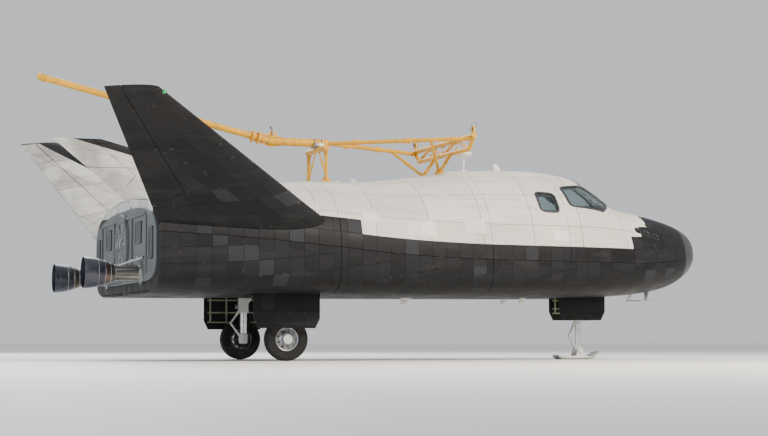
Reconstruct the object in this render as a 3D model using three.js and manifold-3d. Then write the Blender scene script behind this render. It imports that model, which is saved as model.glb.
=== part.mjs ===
// Lifting-body spaceplane on its landing gear, with a rigid lifting frame on its back.
// Millimetres, +X to the nose, +Y to port, +Z up, origin on the floor under the middle of the length.
// A station is a distance aft of the nose tip, and a height is measured from the flat of the belly.
import * as THREE from 'three';
import { mergeVertices } from 'three/addons/utils/BufferGeometryUtils.js';
import Module from 'manifold-3d';

const wasm = await Module();
wasm.setup();

// Whole craft
const overallLength = 9440;
const noseX = overallLength / 2;
const bellyHeight = 850;
const baseStation = 8260;
const seam = 0.3;
const moveGap = 8;
const sides = [['starboard', -1], ['port', 1]];

// Body form: every column is a smooth curve over the square root of the station
const bodyForm = [
  // station, half width, belly, chine, deck, belly power, deck power
  [0, 0, 660, 660, 660, 2.2, 2.0],
  [60, 225, 480, 640, 870, 2.2, 2.0],
  [250, 480, 300, 590, 1015, 2.3, 2.0],
  [560, 715, 155, 540, 1125, 2.5, 2.0],
  [900, 905, 85, 500, 1205, 2.8, 2.0],
  [1400, 1110, 35, 475, 1300, 3.2, 2.0],
  [1450, 1125, 32, 475, 1325, 3.2, 2.0],
  [1720, 1215, 18, 475, 1540, 3.5, 2.0],
  [2080, 1315, 8, 475, 1722, 3.9, 2.0],
  [2700, 1460, 0, 475, 1790, 4.4, 2.05],
  [3600, 1640, 0, 475, 1770, 5.0, 2.1],
  [4400, 1790, 0, 490, 1650, 5.6, 2.2],
  [5200, 1930, 0, 530, 1560, 6.2, 2.3],
  [5900, 2040, 0, 590, 1550, 6.6, 2.35],
  [7200, 2180, 0, 690, 1410, 7.0, 2.5],
  [8260, 2240, 0, 740, 1270, 7.0, 2.6],
];
const deckSteps = 10;
const bellySteps = 8;
const stationStep = 250;

// Where the shells part, as stations
const noseCapEnd = 350;
const cockpitStart = 1400;
const cockpitEnd = 2480;
const cabinEnd = 3700;
const midEnd = 5900;
const noseStations = [noseCapEnd, 560, 900, cockpitStart, 1450, 1590, 1720, 1900, 2080, 2270];
const seamStations = [...noseStations, cockpitEnd, cabinEnd, midEnd, baseStation];

// Cabin
const cabinWall = 55;
const cabinFrontWall = 70;
const paneThickness = 20;
const paneGap = 0.4;
const windowRadius = 55;
const hatch = {
  station: 3275,
  height: 985,
  halfLength: 300,
  halfHeight: 370,
  gap: 12,
  hingeLift: 30,
  knuckleRadius: 16,
  knuckleLength: 60,
  hingeSpread: 230,
  armReach: 75,
};
const panel = {
  station: 1800,
  depth: 110,
  halfWidth: 560,
  bottom: 800,
  top: 1120,
  pedestal: 150,
  overlap: 20,
};
const seat = {
  station: 2280,
  y: 430,
  width: 430,
  toe: 60,
  depth: 480,
  lean: 110,
  backHeight: 780,
  backThickness: 90,
  cushionFront: 820,
  cushionBack: 790,
  cushionThickness: 130,
};

// Wings, centre fin and their moving edges
const wing = {
  rootY: 1800,
  rootLead: [5808, 768],
  rootTrail: [7987, 377],
  tipY: 3500,
  tipLead: [8540, 2330],
  tipTrail: [9180, 2310],
  rootThickness: 250,
  tipThickness: 84,
};
const elevon = { hingeAt: 0.74, start: 0.4, end: 1.06, roundMargin: 4, behind: 900 };
const fin = {
  rootHeight: 1200,
  rootLead: 5404,
  rootTrail: 8184,
  topHeight: 2065,
  topLead: 8580,
  topTrail: 9240,
  rootThickness: 210,
  topThickness: 92,
};
const rudder = { low: [8165, 1571], high: [9134, 2361], noseRadius: 52, behind: 700 };
const edgeThickness = 14;
const edgeCutHalf = 600;
const aerofoilSteps = 7;

// Body flaps at the base
const flap = {
  hingeStation: 7740,
  noseRadius: 75,
  edge: 30,
  cutBehind: 700,
  cutHeight: 400,
  upper: { inner: 330, outer: 1430 },
  lower: { inner: 190, outer: 1560 },
};

// Base
const basePlate = { inset: 150, thickness: 30 };
const dockingCover = { height: 670, radius: 400, thickness: 45, rimRadius: 330, rimDepth: 20 };
const nozzle = { y: 1200, height: 262, length: 730, neck: 95, neckLength: 330, exit: 197, wall: 12 };

// Landing gear, heights above the floor where a name says z
const wheel = { station: 6400, y: 1220, radius: 280, width: 190, rimRadius: 150, bore: 42, faces: 32 };
const mainBay = { front: 5990, back: 6890, inner: 860, outer: 1430, depth: 400 };
const mainLeg = {
  y: 1040,
  radius: 70,
  overlap: 40,
  pistonRadius: 50,
  pistonTopZ: 700,
  belowHub: 60,
  axle: 34,
  axlePast: 18,
  capRadius: 60,
  capThickness: 14,
  brace: 30,
};
const mainDoor = { thickness: 20, inside: 60, hang: 430, margin: 12, corner: 60 };
const noseBay = { front: 1430, back: 2150, halfWidth: 190, depth: 350 };
const noseLeg = {
  station: 1780,
  radius: 52,
  footZ: 110,
  footRadius: 40,
  footHalf: 70,
  brace: 26,
  braceZ: 520,
};
const skid = {
  front: 1500,
  back: 2120,
  halfWidth: 115,
  thickness: 34,
  toe: 90,
  heel: 40,
  saddleZ: 70,
  saddleHalf: 60,
};
const noseDoor = { thickness: 16, inside: 50, hang: 300, margin: 10, corner: 60 };
const braceFoot = { near: 30, far: 110, pin: 70, height: 70, pinDepth: 40, mainHalf: 60, noseHalf: 50 };

// Lifting frame
const frameForm = {
  boomRadius: 45,
  spineRadius: 55,
  boomRise: 2870,
  spineHeight: 2105,
  spineAft: 6300,
  spineFore: 5480,
  crossStation: 5630,
  crossHeight: 2009,
  crossHalf: 460,
  crossRadius: 40,
  postSpread: 430,
  postRadius: 25,
  spreaderStation: 3800,
  spreaderTop: 2150,
  spreaderBottom: 1990,
  spreaderHalf: 1240,
  spreaderLowHalf: 1040,
  spreaderRadius: 34,
  tubeRadius: 28,
  tubeStart: 60,
  tubeHeight: 2105,
  frontPostStation: 3980,
  frontPostY: 330,
  braceStation: 4280,
  padRadius: 70,
  padDepth: 24,
};
const lug = { width: 100, height: 120, thickness: 22, hole: 22 };
const mast = { station: 3500, radius: 12, height: 2020, headRadius: 130, headHalf: 85 };

// Finishes
const finishes = {
  tile: [0x17181a, 0.8, 0.0],
  blanket: [0xd9d8d2, 0.75, 0.0],
  glass: [0x1d2a30, 0.05, 0.1],
  cabin: [0x6f7376, 0.7, 0.0],
  seat: [0x2d3238, 0.85, 0.0],
  rubber: [0x151515, 0.85, 0.0],
  rim: [0xb9bcc0, 0.35, 0.9],
  gear: [0xdfe0de, 0.4, 0.2],
  nozzle: [0x6b6f76, 0.35, 0.9],
  bulkhead: [0x3a3c3f, 0.6, 0.3],
  lift: [0xc9a227, 0.5, 0.3],
};

// Small tools for solids

function point(station, y, height) {
  return new THREE.Vector3(noseX - station, y, bellyHeight + height);
}

function floorPoint(station, y, z) {
  return new THREE.Vector3(noseX - station, y, z);
}

function signedVolume(position, index) {
  const [a, b, c] = [new THREE.Vector3(), new THREE.Vector3(), new THREE.Vector3()];
  let volume = 0;
  for (let i = 0; i < index.length; i += 3) {
    a.fromArray(position, index[i] * 3);
    b.fromArray(position, index[i + 1] * 3);
    c.fromArray(position, index[i + 2] * 3);
    volume += a.dot(b.cross(c));
  }
  return volume;
}

// A solid for joining and cutting, with its faces turned outwards
function solid(geometry) {
  const bare = geometry.clone();
  bare.deleteAttribute('normal');
  bare.deleteAttribute('uv');
  const merged = mergeVertices(bare, 0.01);
  const position = Float32Array.from(merged.attributes.position.array);
  const index = [];
  const given = merged.index.array;
  for (let i = 0; i < given.length; i += 3) {
    const [p, q, r] = [given[i], given[i + 1], given[i + 2]];
    if (p !== q && q !== r && r !== p) {
      index.push(p, q, r);
    }
  }
  if (signedVolume(position, index) < 0) {
    index.reverse();
  }
  const triVerts = Uint32Array.from(index);
  return new wasm.Manifold(new wasm.Mesh({ numProp: 3, vertProperties: position, triVerts }));
}

function loft(rings) {
  const count = rings[0].length;
  const last = (rings.length - 1) * count;
  const index = [];
  for (let r = 0; r + 1 < rings.length; r += 1) {
    for (let i = 0; i < count; i += 1) {
      const next = (i + 1) % count;
      const [a, b] = [r * count + i, r * count + next];
      index.push(a, a + count, b + count, a, b + count, b);
    }
  }
  for (let i = 1; i + 1 < count; i += 1) {
    index.push(0, i, i + 1, last, last + i + 1, last + i);
  }
  const geometry = new THREE.BufferGeometry().setFromPoints(rings.flat());
  geometry.setIndex(index);
  return solid(geometry);
}

function join(...solids) {
  return solids.reduce((sum, next) => sum.add(next));
}

function basis(origin, xAxis, yAxis, zAxis) {
  return new THREE.Matrix4().makeBasis(xAxis, yAxis, zAxis).setPosition(origin);
}

// An outline in a frame's first two axes, pushed along the third from one depth to another
function prism(outline, frame, from, to) {
  const shape = new THREE.Shape(outline.map(([u, v]) => new THREE.Vector2(u, v)));
  const geometry = new THREE.ExtrudeGeometry(shape, { depth: to - from, bevelEnabled: false });
  geometry.translate(0, 0, from);
  geometry.applyMatrix4(frame);
  return solid(geometry);
}

function rod(start, end, radius, endRadius = radius, faces = 8) {
  const along = end.clone().sub(start);
  const geometry = new THREE.CylinderGeometry(endRadius, radius, along.length(), faces);
  const turn = new THREE.Quaternion().setFromUnitVectors(
    new THREE.Vector3(0, 1, 0),
    along.clone().normalize(),
  );
  geometry.applyQuaternion(turn);
  const middle = start.clone().lerp(end, 0.5);
  geometry.translate(middle.x, middle.y, middle.z);
  return solid(geometry);
}

function ball(centre, radius) {
  const geometry = new THREE.SphereGeometry(radius, 12, 6);
  geometry.translate(centre.x, centre.y, centre.z);
  return solid(geometry);
}

function block(low, high) {
  const size = high.clone().sub(low);
  const centre = low.clone().add(high).multiplyScalar(0.5);
  const geometry = new THREE.BoxGeometry(Math.abs(size.x), Math.abs(size.y), Math.abs(size.z));
  geometry.translate(centre.x, centre.y, centre.z);
  return solid(geometry);
}

// A profile of radius and distance, turned about a line from an origin in a direction
function turned(profile, origin, direction, faces = 24) {
  const outline = profile.map(([radius, along]) => new THREE.Vector2(radius, along));
  const geometry = new THREE.LatheGeometry(outline, faces);
  const turn = new THREE.Quaternion().setFromUnitVectors(new THREE.Vector3(0, 1, 0), direction);
  geometry.applyQuaternion(turn);
  geometry.translate(origin.x, origin.y, origin.z);
  return solid(geometry);
}

// Corners of a flat outline rounded by arcs
function rounded(corners, radius, steps = 2) {
  return corners.flatMap((corner, i) => {
    const before = corners[(i + corners.length - 1) % corners.length];
    const after = corners[(i + 1) % corners.length];
    const toBefore = before.clone().sub(corner).normalize();
    const toAfter = after.clone().sub(corner).normalize();
    const half = Math.acos(THREE.MathUtils.clamp(toBefore.dot(toAfter), -1, 1)) / 2;
    const reach = radius / Math.tan(half);
    const start = corner.clone().addScaledVector(toBefore, reach);
    const end = corner.clone().addScaledVector(toAfter, reach);
    const arc = new THREE.QuadraticBezierCurve(start, corner, end);
    return arc.getPoints(steps).map((p) => [p.x, p.y]);
  });
}

// Body skin

function smoothColumn(column) {
  const u = bodyForm.map((row) => Math.sqrt(row[0]));
  const v = bodyForm.map((row) => row[column]);
  const secant = u.slice(1).map((value, i) => (v[i + 1] - v[i]) / (value - u[i]));
  const slope = v.map((value, i) => {
    const before = secant[Math.max(i - 1, 0)];
    const after = secant[Math.min(i, secant.length - 1)];
    return before * after > 0 ? (2 * before * after) / (before + after) : 0;
  });
  return (station) => {
    const at = Math.sqrt(station);
    const found = u.findIndex((value) => value >= at);
    const i = found < 0 ? u.length - 2 : Math.max(found - 1, 0);
    const width = u[i + 1] - u[i];
    const t = (at - u[i]) / width;
    const [t2, t3] = [t * t, t * t * t];
    const start = (2 * t3 - 3 * t2 + 1) * v[i] + (t3 - 2 * t2 + t) * width * slope[i];
    return start + (3 * t2 - 2 * t3) * v[i + 1] + (t3 - t2) * width * slope[i + 1];
  };
}

const halfWidthAt = smoothColumn(1);
const bellyAt = smoothColumn(2);
const chineAt = smoothColumn(3);
const deckAt = smoothColumn(4);
const bellyPowerAt = smoothColumn(5);
const deckPowerAt = smoothColumn(6);

// An angle of 90 degrees is the top centre, 0 the chine and -90 the belly centre
function skinPoint(station, angle, side, grow = 0) {
  const onDeck = angle >= 0;
  const power = 2 / (onDeck ? deckPowerAt(station) : bellyPowerAt(station));
  const radians = THREE.MathUtils.degToRad(angle);
  const across = Math.abs(angle) === 90 ? 0 : Math.pow(Math.cos(radians), power);
  const up = Math.pow(Math.abs(Math.sin(radians)), power);
  const chine = chineAt(station);
  const reach = onDeck ? deckAt(station) - chine : bellyAt(station) - chine;
  const grown = reach + (onDeck ? grow : -grow);
  return point(station, side * (halfWidthAt(station) + grow) * across, chine + grown * up);
}

function deckHeight(station, y) {
  const power = deckPowerAt(station);
  const share = 1 - Math.pow(Math.abs(y) / halfWidthAt(station), power);
  return chineAt(station) + (deckAt(station) - chineAt(station)) * Math.pow(share, 1 / power);
}

function deckBreadth(station, height) {
  const power = deckPowerAt(station);
  const share = (height - chineAt(station)) / (deckAt(station) - chineAt(station));
  return halfWidthAt(station) * Math.pow(1 - Math.pow(share, power), 1 / power);
}

function angleSteps(end, count) {
  return Array.from({ length: count + 1 }, (unused, i) => (end * i) / count);
}

const deckAngles = angleSteps(90, deckSteps);
const bellyAngles = angleSteps(-90, bellySteps);

// One half of a section, from the port chine round to the starboard chine
function halfRing(station, angles, grow, lift) {
  const port = angles.map((angle) => skinPoint(station, angle, 1, grow));
  const starboard = angles.slice(0, -1).reverse();
  const ring = [...port, ...starboard.map((angle) => skinPoint(station, angle, -1, grow))];
  ring[0].z += lift;
  ring[ring.length - 1].z += lift;
  return ring;
}

function fullRing(station, grow) {
  const belly = halfRing(station, bellyAngles, grow, 0).reverse();
  return [...halfRing(station, deckAngles, grow, 0), ...belly.slice(1, -1)];
}

// Every shell has its sections at these stations, so that their seams follow each other
const bodyStations = seamStations.slice(1).flatMap((end, i) => {
  const start = seamStations[i];
  const count = Math.ceil((end - start) / stationStep);
  return Array.from({ length: count }, (unused, j) => start + ((end - start) * (j + 1)) / count);
});

function stations(from, to) {
  return [from, ...bodyStations.filter((station) => station > from + 1 && station < to - 1), to];
}

function deckLoft(from, to, grow = 0, lift = seam / 2) {
  const places = stations(from + seam / 2, to - seam / 2);
  return loft(places.map((station) => halfRing(station, deckAngles, grow, lift)));
}

function bellyLoft(from, to) {
  const places = stations(from + seam / 2, to - seam / 2);
  return loft(places.map((station) => halfRing(station, bellyAngles, 0, -seam / 2)));
}

const wholeBody = loft(stations(noseCapEnd, baseStation).map((station) => fullRing(station, 0)));
const bodyAndSeam = loft(stations(noseCapEnd, baseStation + 1).map((station) => fullRing(station, seam)));

// The skin's own frame at a place on the deck: aft along it, up round it, and out of it
function deckPatch(station, height, side) {
  const small = 5;
  const at = (s, h) => point(s, side * deckBreadth(s, h), h);
  const origin = at(station, height);
  const aft = at(station + small, height).sub(at(station - small, height)).normalize();
  const up = at(station, height + small).sub(at(station, height - small)).normalize();
  const out = new THREE.Vector3().crossVectors(aft, up).normalize();
  if (out.y * side < 0) {
    out.negate();
  }
  up.crossVectors(out, aft).normalize();
  if (up.z < 0) {
    up.negate();
  }
  return { origin, aft, up, out };
}

// A cutter through the skin, square to it, over an outline whose corners lie on the skin
function skinCutter(corners, inset) {
  const centre = corners.reduce((sum, p) => sum.add(p), new THREE.Vector3()).divideScalar(corners.length);
  const acrossOne = corners[2].clone().sub(corners[0]);
  const acrossTwo = corners[3].clone().sub(corners[1]);
  const out = new THREE.Vector3().crossVectors(acrossOne, acrossTwo).normalize();
  const right = corners[1].clone().sub(corners[0]).projectOnPlane(out).normalize();
  const up = new THREE.Vector3().crossVectors(out, right);
  const flat = corners.map((corner) => {
    const offset = corner.clone().sub(centre);
    return new THREE.Vector2(offset.dot(right), offset.dot(up));
  });
  const outline = flat.map((corner) => corner.clone().setLength(corner.length() - inset));
  return prism(rounded(outline, windowRadius), basis(centre, right, up, out), -200, 200);
}

function byBreadth(side) {
  return ([station, y]) => point(station, side * y, deckHeight(station, y));
}

function byHeight(side) {
  return ([station, height]) => point(station, side * deckBreadth(station, height), height);
}

// Windows

const windowForms = [
  // name, how the corners are given, corners as station and distance from the middle or height
  ['windscreen', byBreadth, [[1505, 55], [2010, 55], [1985, 560], [1600, 640]]],
  ['quarter_window', byBreadth, [[1660, 735], [2030, 650], [2390, 850], [2350, 1110], [1830, 960]]],
  ['side_window', byHeight, [[2590, 1160], [2590, 1400], [2860, 1410], [2860, 1160]]],
];

const cavity = deckLoft(cockpitStart + cabinFrontWall, cabinEnd + 5, -cabinWall, -40);
const paneLayer = deckLoft(cockpitStart, cabinEnd).subtract(
  deckLoft(cockpitStart - 20, cabinEnd + 20, -paneThickness, -40),
);
const panes = [];
const windowCutters = [];
for (const [name, places, corners] of windowForms) {
  for (const [sideName, side] of sides) {
    const onSkin = corners.map(places(side));
    windowCutters.push(skinCutter(onSkin, 0));
    panes.push([`${name}_${sideName}`, paneLayer.intersect(skinCutter(onSkin, paneGap))]);
  }
}

// Crew hatch on the port side, hinged at its front edge

const hatchPatch = deckPatch(hatch.station, hatch.height, 1);
const hatchFrame = basis(hatchPatch.origin, hatchPatch.aft, hatchPatch.up, hatchPatch.out);

function hatchOutline(margin) {
  const [length, height] = [hatch.halfLength + margin, hatch.halfHeight + margin];
  const corners = [[-length, -height], [length, -height], [length, height], [-length, height]];
  return rounded(corners.map(([u, v]) => new THREE.Vector2(u, v)), windowRadius + margin);
}

function hatchPlace(along, up, out) {
  return new THREE.Vector3(along, up, out).applyMatrix4(hatchFrame);
}

const hatchHingeAlong = -hatch.halfLength - hatch.gap / 2;
const hatchEdgePoint = byHeight(1)([hatch.station - hatch.halfLength, hatch.height]);
const hatchEdgeOut = hatchEdgePoint.sub(hatchPatch.origin).dot(hatchPatch.out);
const hatchHingeOut = hatchEdgeOut + hatch.hingeLift;

// A knuckle on the hinge line and an arm from it into the skin, towards the hatch or away from it
function hatchHinge(up, towards) {
  const { knuckleRadius: r, knuckleLength: length, armReach, gap } = hatch;
  const top = up + length;
  const knuckle = rod(
    hatchPlace(hatchHingeAlong, up, hatchHingeOut),
    hatchPlace(hatchHingeAlong, top, hatchHingeOut),
    r,
  );
  const start = hatchHingeAlong + towards * (gap / 2 + 2);
  const end = hatchHingeAlong + towards * armReach;
  const [low, high] = [Math.min(start, end), Math.max(start, end)];
  const [reachLow, reachHigh] = [Math.min(hatchHingeAlong, end), Math.max(hatchHingeAlong, end)];
  const foot = [[low, up], [high, up], [high, top], [low, top]];
  const arm = [[reachLow, up], [reachHigh, up], [reachHigh, top], [reachLow, top]];
  return join(
    knuckle,
    prism(arm, hatchFrame, hatchHingeOut - r, hatchHingeOut),
    prism(foot, hatchFrame, hatchHingeOut - hatch.hingeLift - 42, hatchHingeOut - 1),
  );
}

const hatchKnuckles = [-hatch.hingeSpread, hatch.hingeSpread - hatch.knuckleLength].map((up) => (
  hatchHinge(up, 1)
));
const cabinKnuckles = [-hatch.hingeSpread, hatch.hingeSpread - hatch.knuckleLength].map((up) => (
  hatchHinge(up + hatch.knuckleLength + 6, -1)
));
const cabinLayer = deckLoft(cockpitStart, cabinEnd).subtract(cavity);
const crewHatch = join(
  cabinLayer.intersect(prism(hatchOutline(0), hatchFrame, -250, 250)),
  ...hatchKnuckles,
);
const hatchOpening = prism(hatchOutline(hatch.gap), hatchFrame, -250, 250);

// Wings and centre fin

function aerofoilHalf(share) {
  const curve = 0.2969 * Math.sqrt(share) - 0.126 * share - 0.3516 * share ** 2;
  return 5 * (curve + 0.2843 * share ** 3 - 0.1036 * share ** 4);
}

function aerofoilRing(lead, trail, thickness, normal) {
  const chord = trail.clone().sub(lead);
  const shares = Array.from({ length: aerofoilSteps + 1 }, (unused, i) => (
    (1 - Math.cos((Math.PI * i) / aerofoilSteps)) / 2
  ));
  const side = (share, sign) => {
    const half = aerofoilHalf(share) * thickness + (edgeThickness / 2) * share;
    return lead.clone().addScaledVector(chord, share).addScaledVector(normal, sign * half);
  };
  const over = shares.map((share) => side(share, 1));
  const under = shares.slice(1).reverse().map((share) => side(share, -1));
  return [...over, ...under];
}

// The plane across the hinge of a moving edge: aft of the hinge, out of the surface, along the hinge
function hingeFrame(start, end, out) {
  const axis = end.clone().sub(start).normalize();
  const chord = new THREE.Vector3().crossVectors(out, axis).normalize();
  if (chord.x > 0) {
    chord.negate();
  }
  const normal = new THREE.Vector3().crossVectors(axis, chord).normalize();
  return { axis, chord, normal };
}

// What is aft of a hinge, with a round nose in front of it, grown by a margin all round
function movingEdge({ start, end, out, startRadius, endRadius, behind, openEnd }, margin) {
  const { axis, chord, normal } = hingeFrame(start, end, out);
  const from = start.clone().addScaledVector(axis, -margin);
  const to = end.clone().addScaledVector(axis, openEnd ? 0 : margin);
  const nose = rod(from, to, startRadius + margin, endRadius + margin, 24);
  const outline = [[0, -edgeCutHalf], [behind, -edgeCutHalf], [behind, edgeCutHalf], [0, edgeCutHalf]];
  const rear = prism(outline, basis(from, chord, normal, axis), 0, to.distanceTo(from));
  return nose.add(rear);
}

const wingShares = [0, 0.25, 0.5, 0.75, 1];

function makeWing(side) {
  const rootLead = point(wing.rootLead[0], side * wing.rootY, wing.rootLead[1]);
  const rootTrail = point(wing.rootTrail[0], side * wing.rootY, wing.rootTrail[1]);
  const tipLead = point(wing.tipLead[0], side * wing.tipY, wing.tipLead[1]);
  const tipTrail = point(wing.tipTrail[0], side * wing.tipY, wing.tipTrail[1]);
  const along = tipLead.clone().add(tipTrail).sub(rootLead).sub(rootTrail);
  const normal = new THREE.Vector3().crossVectors(along, new THREE.Vector3(1, 0, 0)).normalize();
  const whole = loft(wingShares.map((share) => aerofoilRing(
    rootLead.clone().lerp(tipLead, share),
    rootTrail.clone().lerp(tipTrail, share),
    THREE.MathUtils.lerp(wing.rootThickness, wing.tipThickness, share),
    normal,
  ))).subtract(bodyAndSeam);
  const hingeAt = (share) => {
    const lead = rootLead.clone().lerp(tipLead, share);
    return lead.lerp(rootTrail.clone().lerp(tipTrail, share), elevon.hingeAt);
  };
  const radiusAt = (share) => {
    const thickness = THREE.MathUtils.lerp(wing.rootThickness, wing.tipThickness, share);
    return aerofoilHalf(elevon.hingeAt) * thickness + edgeThickness / 2 + elevon.roundMargin;
  };
  const edge = {
    start: hingeAt(elevon.start),
    end: hingeAt(elevon.end),
    out: normal,
    startRadius: radiusAt(elevon.start),
    endRadius: radiusAt(elevon.end),
    behind: elevon.behind,
    openEnd: true,
  };
  return [whole.subtract(movingEdge(edge, moveGap)), whole.intersect(movingEdge(edge, 0))];
}

const across = new THREE.Vector3(0, 1, 0);
const finWhole = loft([
  aerofoilRing(
    point(fin.rootLead, 0, fin.rootHeight),
    point(fin.rootTrail, 0, fin.rootHeight),
    fin.rootThickness,
    across,
  ),
  aerofoilRing(
    point(fin.topLead, 0, fin.topHeight),
    point(fin.topTrail, 0, fin.topHeight),
    fin.topThickness,
    across,
  ),
]).subtract(bodyAndSeam);
const rudderEdge = {
  start: point(rudder.low[0], 0, rudder.low[1]),
  end: point(rudder.high[0], 0, rudder.high[1]),
  out: across,
  startRadius: rudder.noseRadius,
  endRadius: rudder.noseRadius,
  behind: rudder.behind,
  openEnd: true,
};

// Body flaps: a wedge of the body behind a hinge just under the skin

function flapFrame(form, side, upper) {
  const place = (station, y) => (
    upper ? point(station, side * y, deckHeight(station, y)) : point(station, side * y, 0)
  );
  const inner = place(flap.hingeStation, form.inner);
  const outer = place(flap.hingeStation, form.outer);
  const rear = place(baseStation, (form.inner + form.outer) / 2);
  const middle = place(flap.hingeStation, (form.inner + form.outer) / 2);
  const axis = outer.clone().sub(inner).normalize();
  const chord = rear.clone().sub(middle).normalize();
  const out = new THREE.Vector3().crossVectors(axis, chord).normalize();
  if (out.z * (upper ? 1 : -1) < 0) {
    out.negate();
  }
  chord.crossVectors(axis, out).normalize();
  if (chord.x > 0) {
    chord.negate();
  }
  const bulge = middle.clone().sub(inner).dot(out);
  const start = inner.clone().addScaledVector(out, bulge - flap.noseRadius);
  return { start, axis, chord, out, length: outer.distanceTo(inner) };
}

function flapWedge({ start, axis, chord, out, length }, margin) {
  const r = flap.noseRadius + margin;
  const from = start.clone().addScaledVector(axis, -margin);
  const nose = rod(from, from.clone().addScaledVector(axis, length + 2 * margin), r, r, 24);
  const { cutBehind: behind, cutHeight } = flap;
  const rise = (flap.noseRadius * 2 - flap.edge) * (behind / (baseStation - flap.hingeStation));
  const outline = [[0, -r], [behind, rise - r], [behind, cutHeight], [0, cutHeight]];
  const rear = prism(outline, basis(from, chord, out, axis), 0, length + 2 * margin);
  return nose.add(rear);
}

const flaps = [];
for (const [height, upper] of [['upper', true], ['lower', false]]) {
  for (const [sideName, side] of sides) {
    const frame = flapFrame(flap[height], side, upper);
    flaps.push({
      name: `${height}_body_flap_${sideName}`,
      upper,
      frame,
      body: wholeBody.intersect(flapWedge(frame, 0)),
      slot: flapWedge(frame, moveGap),
    });
  }
}

// Base

const plateStart = baseStation + seam;
const plateEnd = plateStart + basePlate.thickness;
const basePlateSolid = loft([plateStart, plateEnd].map((station) => {
  const ring = fullRing(baseStation, -basePlate.inset);
  return ring.map((p) => new THREE.Vector3(noseX - station, p.y, p.z));
}));
const aft = new THREE.Vector3(-1, 0, 0);

function makeDockingCover() {
  const { radius, thickness, rimRadius, rimDepth } = dockingCover;
  const profile = [
    [0, 0],
    [radius, 0],
    [radius, thickness],
    [rimRadius, thickness],
    [rimRadius - 20, thickness - rimDepth],
    [0, thickness - rimDepth],
  ];
  return turned(profile, point(plateEnd + seam, 0, dockingCover.height), aft);
}

function makeNozzle(side) {
  const { length, neck, neckLength, exit, wall } = nozzle;
  const bell = (share) => neck + (exit - neck) * Math.sin((share * Math.PI) / 2) ** 0.9;
  const shares = [0, 0.25, 0.5, 0.75, 1];
  const outside = shares.map((share) => [bell(share), neckLength + share * (length - neckLength)]);
  const inside = shares.map((share) => [bell(share) - wall, neckLength + share * (length - neckLength)]);
  const throat = [[neck * 0.55, neckLength - 30], [0, neckLength - 30]];
  const profile = [[0, 0], [neck, 0], ...outside, ...inside.reverse(), ...throat];
  return turned(profile, point(plateEnd + seam, side * nozzle.y, nozzle.height), aft, 20);
}

// Landing gear

function bayBlock(bay, side) {
  const low = point(bay.back, side * bay.inner, -200);
  return block(low, point(bay.front, side * bay.outer, bay.depth));
}

function makeTyre(side) {
  const [r, half, rim] = [wheel.radius, wheel.width / 2, wheel.rimRadius];
  const profile = [
    [rim, -half * 0.72],
    [r * 0.72, -half],
    [r * 0.88, -half * 0.97],
    [r * 0.975, -half * 0.72],
    [r, -half * 0.3],
    [r, half * 0.3],
    [r * 0.975, half * 0.72],
    [r * 0.88, half * 0.97],
    [r * 0.72, half],
    [rim, half * 0.72],
    [rim, -half * 0.72],
  ];
  return turned(profile, floorPoint(wheel.station, side * wheel.y, r), across, wheel.faces);
}

function makeRim(side) {
  const [r, half] = [wheel.rimRadius - seam, wheel.width / 2];
  const profile = [
    [wheel.bore, -half * 0.62],
    [r * 0.5, -half * 0.62],
    [r * 0.82, -half * 0.35],
    [r, -half * 0.7],
    [r, half * 0.7],
    [r * 0.82, half * 0.35],
    [r * 0.5, half * 0.62],
    [wheel.bore, half * 0.62],
    [wheel.bore, -half * 0.62],
  ];
  return turned(profile, floorPoint(wheel.station, side * wheel.y, wheel.radius), across, wheel.faces);
}

function makeMainLeg(side) {
  const roof = bellyHeight + mainBay.depth - seam;
  const y = side * mainLeg.y;
  const at = (z, station = wheel.station) => floorPoint(station, y, z);
  const { radius, overlap, pistonRadius, pistonTopZ, axle, capRadius, brace } = mainLeg;
  const axleEnd = side * (wheel.y + wheel.width / 2 + mainLeg.axlePast);
  const hub = wheel.radius;
  const axleAt = (inwards) => floorPoint(wheel.station, axleEnd - side * inwards, hub);
  const foot = braceFoot;
  return join(
    rod(at(pistonTopZ - overlap), at(roof), radius, radius, 16),
    rod(at(hub - mainLeg.belowHub), at(pistonTopZ), pistonRadius, pistonRadius, 16),
    rod(at(hub), axleAt(0), axle, axle, 16),
    rod(axleAt(mainLeg.capThickness), axleAt(0), capRadius, capRadius, 16),
    rod(at(pistonTopZ + brace), at(roof - foot.pinDepth, mainBay.front + foot.pin), brace),
    block(
      floorPoint(mainBay.front + foot.far, y - foot.mainHalf, roof - foot.height),
      floorPoint(mainBay.front + foot.near, y + foot.mainHalf, roof),
    ),
  );
}

// A flat door that hangs down from inside the edge of its bay
function hangingDoor(bay, door, side, outer) {
  const [front, back] = [bay.front + door.margin, bay.back - door.margin];
  const face = side * (outer - seam);
  const slope = door.corner;
  const frame = basis(
    floorPoint(0, face, bellyHeight),
    new THREE.Vector3(-1, 0, 0),
    new THREE.Vector3(0, 0, 1),
    new THREE.Vector3(0, -side, 0),
  );
  const outline = [
    [front, door.inside],
    [front, -door.hang + slope * 2],
    [front + slope, -door.hang],
    [back - slope, -door.hang],
    [back, -door.hang + slope * 2],
    [back, door.inside],
  ];
  return prism(outline, frame, 0, door.thickness);
}

function makeNoseLeg() {
  const roof = bellyHeight + noseBay.depth - seam;
  const at = (z, station = noseLeg.station) => floorPoint(station, 0, z);
  const { radius, footZ, footRadius, footHalf } = noseLeg;
  const footAt = (y) => floorPoint(noseLeg.station, y, footZ);
  const foot = braceFoot;
  return join(
    rod(at(footZ), at(roof), radius, radius, 16),
    rod(footAt(-footHalf), footAt(footHalf), footRadius, footRadius, 16),
    rod(at(noseLeg.braceZ), at(roof - foot.pinDepth, noseBay.back - foot.pin), noseLeg.brace),
    block(
      floorPoint(noseBay.back - foot.near, -foot.noseHalf, roof - foot.height),
      floorPoint(noseBay.back - foot.far, foot.noseHalf, roof),
    ),
  );
}

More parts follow.
